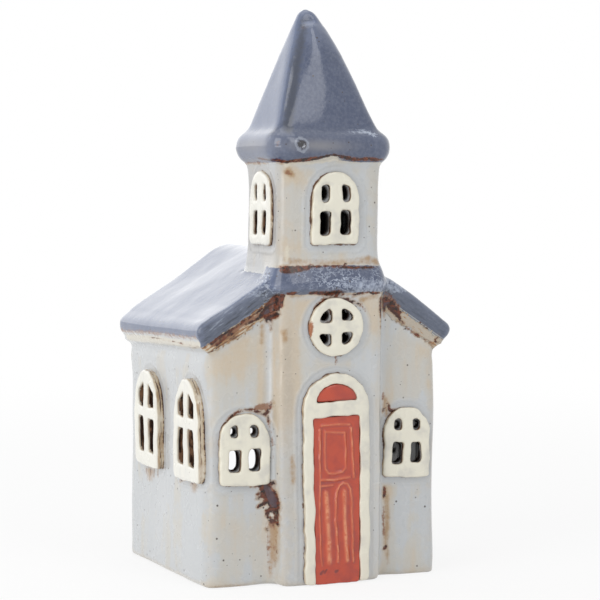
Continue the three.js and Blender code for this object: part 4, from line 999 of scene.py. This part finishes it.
def slate_colour(g, paints, thick):
    """Roof glaze: mottled slate blue with soft streaks, darker hollows, a scratched verge, frost and a blister, with
    a painted sky reflection on slopes facing up, a painted sheen along the roll, a painted highlight along the right
    verge, painted glints in the blister and a darker strip along the spire's edge.
    """
    x, y, z = g.axes()
    mottle = g.clouds(700.0, 4.0, 0.6)
    streaks = g.clouds((45.0, 260.0, 60.0), 3.0, 0.55)
    threads = g.effect("Pitch")["Threads"]
    border, frost = g.field("slate"), g.field("frost")
    verge = y.span(-0.043, -0.0445) * z.span(0.119, 0.1165)
    rim = border.span(0.1, 0.5) * border.span(0.9, 0.5) * verge
    darkened = g.field("worn") + (mottle - 0.5) * 3.0
    crazed = abs(g.clouds((420.0, 420.0, 640.0), 4.0, 0.6) - 0.5)
    veins = crazed.span(0.0, 0.045, 1.0, 0.0) * g.clouds(90.0, 3.0, 0.6).span(0.4, 0.56)
    white = (frost + (mottle - 0.5) * 0.9).span(0.72, 1.1)
    torn = g.field("blister") + (g.clouds(500.0, 4.0, 0.7) - 0.5) * 3.2
    return g.layers(
        paints.slate,
        (MOTTLED_SLATE, mottle.span(0.35, 0.7)),
        (paints.slate_thin, streaks.span(0.45, 0.75) * 0.2),
        # painted sky reflection on slopes facing up and on faces towards the left
        (PAINTED_SKY_SLATE, g.field("lit") * 0.8),
        (VERGE_SLATE, verge * 0.45),
        (VERGE_DARK, threads.span(0.48, 0.36, 0.0, 0.8) * (verge * x.span(0.0, 0.02, 1.0, 0.5))),
        (SCRATCH, threads.span(0.56, 0.66) * (verge * x.span(0.0, 0.02, 0.8, 0.15))),
        # painted highlight along the edge of the slate on the right verge
        (VERGE_HIGHLIGHT, rim * x.span(0.02, 0.03, 0.0, 0.7)),
        (HOLLOW_SLATE, g.field("relief").span(0.1, 0.8) * 0.5),
        (paints.slate_thin, thick["Thin"] * 0.45),
        # painted reflection along the roll under the spire
        (PAINTED_SHEEN_SLATE, g.field("bright") * 0.55),
        # a darker strip along the spire's front-left edge
        (EDGE_DARK_SLATE, darkened.span(-1.0, 1.2) * 0.75),
        (FROST, (frost.span(0.05, 0.5) * veins).max(white * 0.8) * 0.75),
        (BLISTER_LIP, torn.span(3.4, 2.9) * torn.span(2.0, 2.5) * 0.8),
        (BLISTER_HOLE, torn.span(1.9, 1.5) * 0.9),
        (BLISTER_GLINT, torn.span(1.3, 1.1) * mottle.span(0.52, 0.6)))


def cream_glaze(g, shader, paints):
    """Thick cream glaze on the applied plates, brown where it thins out against the wall, with painted shade on the
    pane sides inside the openings.
    """
    thick = g.effect("Glaze thickness", Relief="relief", Halo=10.0, Reach=1.0)
    bleed = g.effect("Iron bleed", Seam="seat", Iron=-3.0, Bloom=-3.0, Brown="brown", Tan=-3.0)
    specks = g.effect("Iron specks", Spacing=300.0, Share=0.03, Size=0.09)["Mask"]
    surface = g.effect("Glaze surface", Dimples=0.6)
    clouds = g.clouds(140.0)
    threads = g.clouds((500.0, 500.0, 130.0), 4.0, 0.65)
    rim = g.layers(RIM_TAN, (RIM_BROWN, threads.span(0.45, 0.6)))
    crack = (g.field("groove") + (clouds - 0.5) * 1.6).span(0.62, 0.85)
    # Painted shade on the pane sides inside the openings, threaded with brown clay.
    jamb = g.layers(JAMB_SHADE, (JAMB_BROWN, threads.span(0.46, 0.62)))
    colour = g.layers(
        paints.cream,
        (GREY_CREAM, clouds.span(0.45, 0.75)),
        (PALE_CREAM, g.field("pale") * 0.7),
        (POOLED_CREAM, thick["Pooled"] * 0.4),
        (rim, g.field("side") * clouds.span(0.3, 0.6, 0.6, 1.0)),
        (CRACK, crack),
        (paints.tan, bleed["Wash"] * 0.55),
        (CREAM_IRON, bleed["Brown"]),
        (paints.umber, bleed["Core"]),
        (CREAM_SPECK, specks * 0.6),
        (jamb, "jamb"))
    g.cover(shader, colour, surface["Gloss"].span(0.3, 0.7, 0.16, 0.3), surface["Height"], 0.14 * MM)


def red_glaze(g, shader, paints):
    """Brick-red glaze that breaks orange over the mouldings."""
    thick = g.effect("Glaze thickness", Relief="relief", Halo=10.0, Reach=1.0)
    specks = g.effect("Iron specks", Spacing=320.0, Share=0.03, Size=0.1)["Mask"]
    surface = g.effect("Glaze surface", Dimples=0.6)
    ridge = g.field("ridge")
    colour = g.layers(
        paints.red,
        (DEEP_RED, g.clouds(150.0, 3.0, 0.55).span(0.4, 0.7)),
        (POOLED_RED, thick["Pooled"] * 0.6),
        (LIT_RED, ridge.span(0.15, 0.6, 0.0, 0.85)),
        (paints.red_thin, ridge.span(0.4, 0.85) * g.clouds(300.0, 4.0, 0.6).span(0.4, 0.6, 0.05, 0.95)),
        (DENT_RED, g.field("brown").span(-0.4, 0.3) * 0.8),
        (EDGE_RED, thick["Thin"] * ridge.span(0.05, 0.3, 0.45, 0.0)),
        (RED_SPECK, specks * 0.7))
    g.cover(shader, colour, surface["Gloss"].span(0.3, 0.7, 0.12, 0.26), surface["Height"], 0.12 * MM)


def foil(g, shader, paints):
    """Thin pressed sheet with rolling marks."""
    lines = g.clouds((60.0, 60.0, 1600.0))
    g.feed(shader.inputs["Metallic"], 1.0)
    colour = g.layers(FOIL, (DULL_FOIL, g.clouds(260.0).span(0.4, 0.7)))
    g.cover(shader, colour, lines.span(0.3, 0.7, 0.22, 0.42), lines, 0.03 * MM)


def wax(g, shader, paints):
    """White candle wax, slightly translucent and faintly mottled."""
    clouds = g.clouds(300.0, 4.0, 0.6)
    g.feed(shader.inputs["Subsurface Weight"], 0.25)
    g.feed(shader.inputs["Subsurface Scale"], 4 * MM)
    colour = g.layers(WAX, (DULL_WAX, clouds.span(0.4, 0.7)))
    g.cover(shader, colour, clouds.span(0.3, 0.7, 0.32, 0.5), g.clouds(180.0, 2.0), 0.12 * MM)


def wick_cotton(g, shader, paints):
    """Plaited cotton, charred towards the tip."""
    _, _, z = g.axes()
    fibres = g.clouds((2600.0, 2600.0, 500.0), 3.0, 0.6)
    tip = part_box("wick")[1].z
    charred = (z + fibres * (1.2 * MM)).span(tip - 4.2 * MM, tip - 2.2 * MM)
    colour = g.layers(COTTON, (SHADED_COTTON, fibres.span(0.35, 0.7)), (CHAR, charred))
    g.cover(shader, colour, 0.9, fibres, 0.08 * MM)


# For each slot: the material's name, its maker, and the weight and roughness of its clear coat.
FINISHES = {
    "stone_glaze": ("Stone glaze", clay_glaze, 0.5, 0.05),
    "slate_glaze": ("Slate glaze", clay_glaze, 0.5, 0.05),
    "cream_glaze": ("Cream glaze", cream_glaze, 0.4, 0.06),
    "red_glaze": ("Red glaze", red_glaze, 0.5, 0.05),
    "foil": ("Foil", foil, 0.0, 0.03),
    "wax": ("Candle wax", wax, 0.0, 0.03),
    "wick": ("Wick cotton", wick_cotton, 0.0, 0.03),
}


def glaze(slot):
    """The finish of a slot, made when first asked for."""
    name, make, coat, coat_roughness = FINISHES[slot]
    found = bpy.data.materials.get(name)
    if found:
        return found
    material = bpy.data.materials.new(name)
    material.use_nodes = True
    g = Graph(material.node_tree)
    g.place = g.out("ShaderNodeTexCoord", output="Object")
    shader = g.add("ShaderNodeBsdfPrincipled", {"Coat Weight": coat, "Coat Roughness": coat_roughness})
    g.add("ShaderNodeOutputMaterial", {"Surface": Wire(g, shader.outputs[0])})
    make(g, shader, bpy.context.scene.church_glaze)
    return material


# Pieces

class CHURCH_OT_clay(bpy.types.Operator):
    """Walls, roof, bell chamber and spire, luted together and glazed"""

    bl_idname = "church.clay"
    bl_label = "Walls, roof and tower"

    def execute(self, context):
        clay = context.scene.church_clay
        skin, rest, edges = luted_clay()
        mesh = skin.data
        piece = clay_fields(mesh, rest, edges)
        fingers = ripples(rest, 22 * MM, 7) + 0.35 * ripples(rest, 9 * MM, 8)
        put_points(mesh, warped(rest + normals_of(mesh) * (fingers * clay.ripple)[:, None], clay.warp))
        kept = mesh.attributes.new("skin_normal", "FLOAT_VECTOR", "POINT")
        kept.data.foreach_set("vector", normals_of(mesh).astype(np.float32).ravel())
        corners = read(mesh.loops, "vertex_index", kind=np.int64)
        face_piece = piece[corners[read(mesh.polygons, "loop_start", kind=np.int64)]]
        for k, (name, nodes, slot) in enumerate(CLAY_PIECES):
            finish_piece(part_of(mesh, face_piece == k, name), "church", slot, *nodes)
        bpy.data.objects.remove(skin)
        return {"FINISHED"}


def facing_itself(mesh, points, asked):
    """1 at points inside an opening, from which the mesh sees its own other side close by."""
    tree = BVHTree.FromPolygons([Vector(p) for p in points], [p.vertices for p in mesh.polygons])
    normals = normals_of(mesh)
    seen = np.zeros(len(points))
    for k in np.where(asked)[0]:
        direction = Vector(normals[k])
        seen[k] = tree.ray_cast(Vector(points[k]) + direction * 0.2 * MM, direction, 16 * MM)[0] is not None
    return seen


def leaf_ridges(mesh, points, outward, back):
    """Draws the panels of the door as finger-wide ridges on a flat leaf. Also gives how high each point's ridge
    is, in millimetres."""
    low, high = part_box("door_leaf")
    height = points @ outward - back
    front = (normals_of(mesh) @ outward > 0.25) & (height > 0.6 * MM)
    level = np.median(height[front])
    spot = np.stack([points[:, 0] - low.x, points[:, 2] - low.z], axis=1) / MM
    size = np.array([high.x - low.x, high.z - low.z]) / MM
    crest = np.zeros(len(points))
    for half_width, lift, places in LEAF_RIDGES:
        corners = [np.array(c) * size for c in places]
        away = np.min([along(spot, a, b)[1] for a, b in zip(corners, corners[1:])], axis=0)
        crest = np.maximum(crest, lift * hill(away, 0, half_width))
    crest *= 1.0 + 0.35 * ripples(points, 4 * MM, 77)
    dents = np.clip(stroke_field(points, PLATE_STROKES) + 0.2, 0, 0.3)
    drawn = level - 0.1 * MM + (crest - dents) * MM
    border = np.minimum(np.minimum(spot[:, 0], size[0] - spot[:, 0]), size[1] - spot[:, 1])
    drawn = np.where(border < 0.9, np.minimum(height, drawn), drawn)
    return points + np.outer(np.where(front, drawn - height, 0), outward), crest * front


def rounded_foot(points, edges, low, high, on_side):
    """Rounds off the lower corners of a plate, more on the side walls."""
    across = 1 if on_side else 0
    weight = np.zeros(len(points))
    for side in (low, high):
        away = np.hypot(points[:, across] - side[across], points[:, 2] - low.z)
        weight = np.maximum(weight, hill(away, 0, 2.6 * MM))
    return soften(points, edges, 44 if on_side else 10, 0, weight)


def applied_plate(node, outward, slot, seed, voxel, wobble, rounds=4, rebound=0.52, swell=0.0, relief=None):
    """A hand-cut plate of clay, pressed onto the wall behind it. Outward points away from the wall."""
    clay = bpy.context.scene.church_clay
    outward = np.array(outward, dtype=float)
    on_side = bool(outward[0])
    low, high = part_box(node)
    back, front = sorted((np.dot(low, outward), np.dot(high, outward)))
    bm = merged_copy((node,), swell)
    for v in bm.verts:
        if np.dot(v.co, outward) > front:
            v.co -= Vector(outward) * swell
        if np.dot(v.co, outward) < back + 0.35 * MM:
            v.co -= Vector(outward) * 0.55 * MM
    obj = remeshed(bm, node + "_clay", voxel)
    mesh = obj.data
    edges = edges_of(mesh)
    points = rounded_foot(soften(points_of(mesh), edges, rounds, rebound), edges, low, high, on_side)
    put_points(mesh, points)
    if on_side:
        panes = facing_itself(mesh, points, np.abs(normals_of(mesh) @ outward) < 0.8)
        points = soften(points, edges, 9, 0, spread(panes, edges, 1))
        put_points(mesh, points)
    ridge = np.zeros(len(points))
    if relief:
        points, ridge = relief(mesh, points, outward, back)
        put_points(mesh, points)
    height = points @ outward - back
    thickness = front - back
    facing = np.abs(normals_of(mesh) @ outward)
    jamb = facing_itself(mesh, points, facing < 0.8)
    rim = ramp(facing, 0.75, -0.35) * ramp(height, thickness, -0.9 * MM) * (1 - jamb)
    level = height / thickness + 0.24 * ripples(points, 7 * MM, seed + 3) + 0.1 * ripples(points, 2.2 * MM, seed + 4)
    bleed = 0.6 if on_side and low.z < 100 * MM else 1.0
    set_fields(
        mesh, ridge=ridge, seat=(1 - np.maximum(height, 0) / (0.8 * MM)) * bleed, side=rim,
        groove=rim * hill(level, 0.42, 0.1), jamb=jamb * ramp(height, thickness - 0.35 * MM, -0.6 * MM),
        relief=relief_of(mesh, edges, 10, 0.22 * MM), brown=stroke_field(points, PLATE_STROKES),
        pale=np.full(len(points), float(on_side)))
    drift = np.stack([ripples(points, 8.5 * MM, seed + k) + 0.6 * ripples(points, 3.2 * MM, seed + k + 5)
                      for k in range(3)], axis=1)
    drift -= np.outer(drift @ outward, outward) * 0.75
    put_points(mesh, warped(points + drift * clay.cut_wobble * wobble, clay.warp))
    mesh.shade_smooth()
    finish_piece(obj, "church", slot, node)


class CHURCH_OT_windows(bpy.types.Operator):
    """The ten applied windows"""

    bl_idname = "church.windows"
    bl_label = "Windows"

    def execute(self, context):
        on_front = {"rounds": 6, "rebound": 0.46}
        on_side = {"rounds": 18, "rebound": 0.34, "swell": 0.28 * MM}
        plates = [(node, FORWARD, on_front) for node in FRONT_PLATES]
        plates += [(node, (-1, 0, 0), on_side) for node in LEFT_PLATES]
        plates += [(node, (1, 0, 0), on_side) for node in RIGHT_PLATES]
        for k, (node, outward, cut) in enumerate(plates):
            applied_plate(node, outward, "cream_glaze", 20 + 11 * k, 0.42 * MM, 1.35, **cut)
        return {"FINISHED"}


class CHURCH_OT_door(bpy.types.Operator):
    """Door surround, fanlight and panelled leaf"""

    bl_idname = "church.door"
    bl_label = "Door"

    def execute(self, context):
        applied_plate("door_surround", FORWARD, "cream_glaze", 301, 0.45 * MM, 1.15)
        applied_plate("fanlight", FORWARD, "red_glaze", 331, 0.4 * MM, 0.6, rounds=5, swell=0.3 * MM)
        applied_plate("door_leaf", FORWARD, "red_glaze", 351, 0.34 * MM, 0.5, rounds=2, swell=0.3 * MM,
                      relief=leaf_ridges)
        return {"FINISHED"}


def foil_cup():
    """The cup as one turned profile, its side pressed into shallow flutes."""
    low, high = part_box("tealight_cup")
    middle = (low + high) / 2
    radius = 19.0 * MM
    height = high.z - low.z
    bm = bmesh.new()
    verts = [bm.verts.new((middle.x + r * radius, middle.y, low.z + h * height)) for r, h in CUP_PROFILE]
    edges = [bm.edges.new(pair) for pair in zip(verts, verts[1:])]
    bmesh.ops.spin(bm, geom=verts + edges, cent=(middle.x, middle.y, 0), axis=(0, 0, 1), angle=2 * math.pi,
                   steps=144, use_merge=True)
    bmesh.ops.remove_doubles(bm, verts=bm.verts, dist=0.001 * MM)
    for v in bm.verts:
        share = (v.co.z - low.z) / height
        reach = math.hypot(v.co.x - middle.x, v.co.y - middle.y)
        if 0.08 < share < 0.95 and reach > 0.95 * radius:
            turn = math.atan2(v.co.y - middle.y, v.co.x - middle.x)
            press = 1 - 0.007 * (0.5 + 0.5 * math.cos(36 * turn)) * math.sin(math.pi * share)
            v.co.x = middle.x + (v.co.x - middle.x) * press
            v.co.y = middle.y + (v.co.y - middle.y) * press
    bmesh.ops.recalc_face_normals(bm, faces=bm.faces)
    mesh = bpy.data.meshes.new("foil_cup")
    bm.to_mesh(mesh)
    bm.free()
    return mesh


def wick_strands():
    """Three strands wound round each other, leaning over at the burnt end."""
    low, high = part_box("wick")
    foot_x, foot_y = low.x + 0.9 * MM, (low.y + high.y) / 2
    lean = (high.x - 0.9 * MM) - foot_x
    curve = bpy.data.curves.new("wick_strands", "CURVE")
    curve.dimensions = "3D"
    curve.bevel_depth, curve.bevel_resolution, curve.use_fill_caps = 0.46 * MM, 3, True
    count = 70
    for strand in range(3):
        spline = curve.splines.new("POLY")
        spline.points.add(count - 1)
        for k in range(count):
            share = k / (count - 1)
            turn = 2 * math.pi * (strand / 3 + 5 * share)
            over = lean * max(0.0, (share - 0.6) / 0.4) ** 2
            x = foot_x + over + 0.4 * MM * math.cos(turn)
            y = foot_y + 0.4 * MM * math.sin(turn)
            z = low.z + 0.5 * MM + (high.z - low.z - 1.0 * MM) * share
            spline.points[k].co = (x, y, z, 1)
    return evaluated(link("wick_strands", curve))


class CHURCH_OT_tealight(bpy.types.Operator):
    """Tealight: pressed foil cup, wax, wick clip and plaited wick"""

    bl_idname = "church.tealight"
    bl_label = "Tealight"

    def execute(self, context):
        pieces = (("foil_cup", foil_cup, "foil", "tealight_cup"), ("plaited_wick", wick_strands, "wick", "wick"))
        for name, make, slot, node in pieces:
            mesh = make()
            mesh.shade_smooth()
            finish_piece(link(name, mesh), "tealight", slot, node)
        for node, slot in (("tealight_wax", "wax"), ("wick_clip", "foil")):
            for material_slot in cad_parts[node].material_slots:
                material_slot.material = glaze(slot)
        return {"FINISHED"}


def area_lamp(name, place, aim, size, watts):
    """A lamp that shines at a point above the middle of the floor."""
    data = bpy.data.lights.new(name, "AREA")
    data.shape = "RECTANGLE"
    data.size, data.size_y = size
    data.energy = watts
    lamp = link(name, data)
    lamp.location = place
    lamp.visible_camera = False
    lamp.rotation_euler = (Vector((0, 0, aim)) - Vector(place)).to_track_quat("-Z", "Y").to_euler()


def camera_sees(g):
    """1 where a camera, mirror or glass looks straight at something."""
    path = g.outs("ShaderNodeLightPath")
    return path["Is Camera Ray"].max(path["Is Glossy Ray"].max(path["Is Transmission Ray"]))


def floor_material():
    """Matte and pale, and white to the camera from a little way off."""
    material = bpy.data.materials.new("Pale floor")
    material.use_nodes = True
    g = Graph(material.node_tree)
    place = g.out("ShaderNodeTexCoord", output="Object")
    reach = g.out("ShaderNodeVectorMath", {0: place}, "Value", operation="LENGTH")
    matte = g.out("ShaderNodeBsdfDiffuse", {"Color": (0.92, 0.92, 0.92)})
    white = g.out("ShaderNodeEmission", {"Color": (1, 1, 1), "Strength": 1.0})
    seen = camera_sees(g) * reach.span(0.2, 0.9, 0.8, 1.0)
    g.add("ShaderNodeOutputMaterial", {"Surface": g.out("ShaderNodeMixShader", {0: seen, 1: matte, 2: white})})
    return material


def room(strength):
    """A soft grey light all round, white to the camera."""
    world = bpy.data.worlds.new("Room")
    world.use_nodes = True
    g = Graph(world.node_tree)
    soft = g.out("ShaderNodeBackground", {"Color": (1, 1, 1), "Strength": strength})
    white = g.out("ShaderNodeBackground", {"Color": (1, 1, 1), "Strength": 1.0})
    g.add("ShaderNodeOutputWorld", {"Surface": g.out("ShaderNodeMixShader", {0: camera_sees(g), 1: soft, 2: white})})
    return world


class CHURCH_OT_stage(bpy.types.Operator):
    """Pale floor, soft light and the camera"""

    bl_idname = "church.stage"
    bl_label = "Stage"

    def execute(self, context):
        stage = context.scene.church_stage
        bm = bmesh.new()
        bmesh.ops.create_grid(bm, x_segments=1, y_segments=1, size=3.0)
        mesh = bpy.data.meshes.new("floor")
        bm.to_mesh(mesh)
        bm.free()
        mesh.materials.append(floor_material())
        floor = link("floor", mesh)
        for name, place, aim, size in LAMPS:
            area_lamp(name, place, aim, size, getattr(stage, name))
        data = bpy.data.cameras.new("camera")
        data.lens, data.sensor_width = stage.lens, 36
        data.shift_x, data.shift_y = 0.03773, -0.01657
        camera = link("camera", data)
        camera.location = stage.camera_place
        camera.rotation_euler = (math.pi / 2 - stage.camera_dip, 0, -stage.camera_azimuth)
        context.scene.camera = camera
        context.scene.world = room(stage.room)
        context.scene.view_settings.view_transform = "Standard"
        return {"FINISHED"}


class CHURCH_PT_panel(bpy.types.Panel):
    """Lists the church's pieces and settings"""

    bl_label = "Church"
    bl_idname = "CHURCH_PT_panel"
    bl_space_type = "VIEW_3D"
    bl_region_type = "UI"
    bl_category = "Church"

    def draw(self, context):
        for operator in OPERATORS:
            self.layout.operator(operator.bl_idname)
        for settings in (context.scene.church_clay, context.scene.church_glaze, context.scene.church_stage):
            box = self.layout.box()
            for name in settings.__annotations__:
                box.prop(settings, name)


SETTINGS = {"church_clay": ClaySettings, "church_glaze": GlazeSettings, "church_stage": StageSettings}
OPERATORS = (CHURCH_OT_stage, CHURCH_OT_clay, CHURCH_OT_windows, CHURCH_OT_door, CHURCH_OT_tealight)


def register():
    for name, settings in SETTINGS.items():
        bpy.utils.register_class(settings)
        setattr(bpy.types.Scene, name, bpy.props.PointerProperty(type=settings))
    for made in OPERATORS + (CHURCH_PT_panel,):
        bpy.utils.register_class(made)


def unregister():
    for made in reversed(OPERATORS + (CHURCH_PT_panel,)):
        bpy.utils.unregister_class(made)
    for name, settings in SETTINGS.items():
        delattr(bpy.types.Scene, name)
        bpy.utils.unregister_class(settings)


def main():
    register()
    bpy.ops.church.stage()
    bpy.ops.church.clay()
    bpy.ops.church.windows()
    bpy.ops.church.door()
    bpy.ops.church.tealight()


if __name__ == "__main__":
    main()
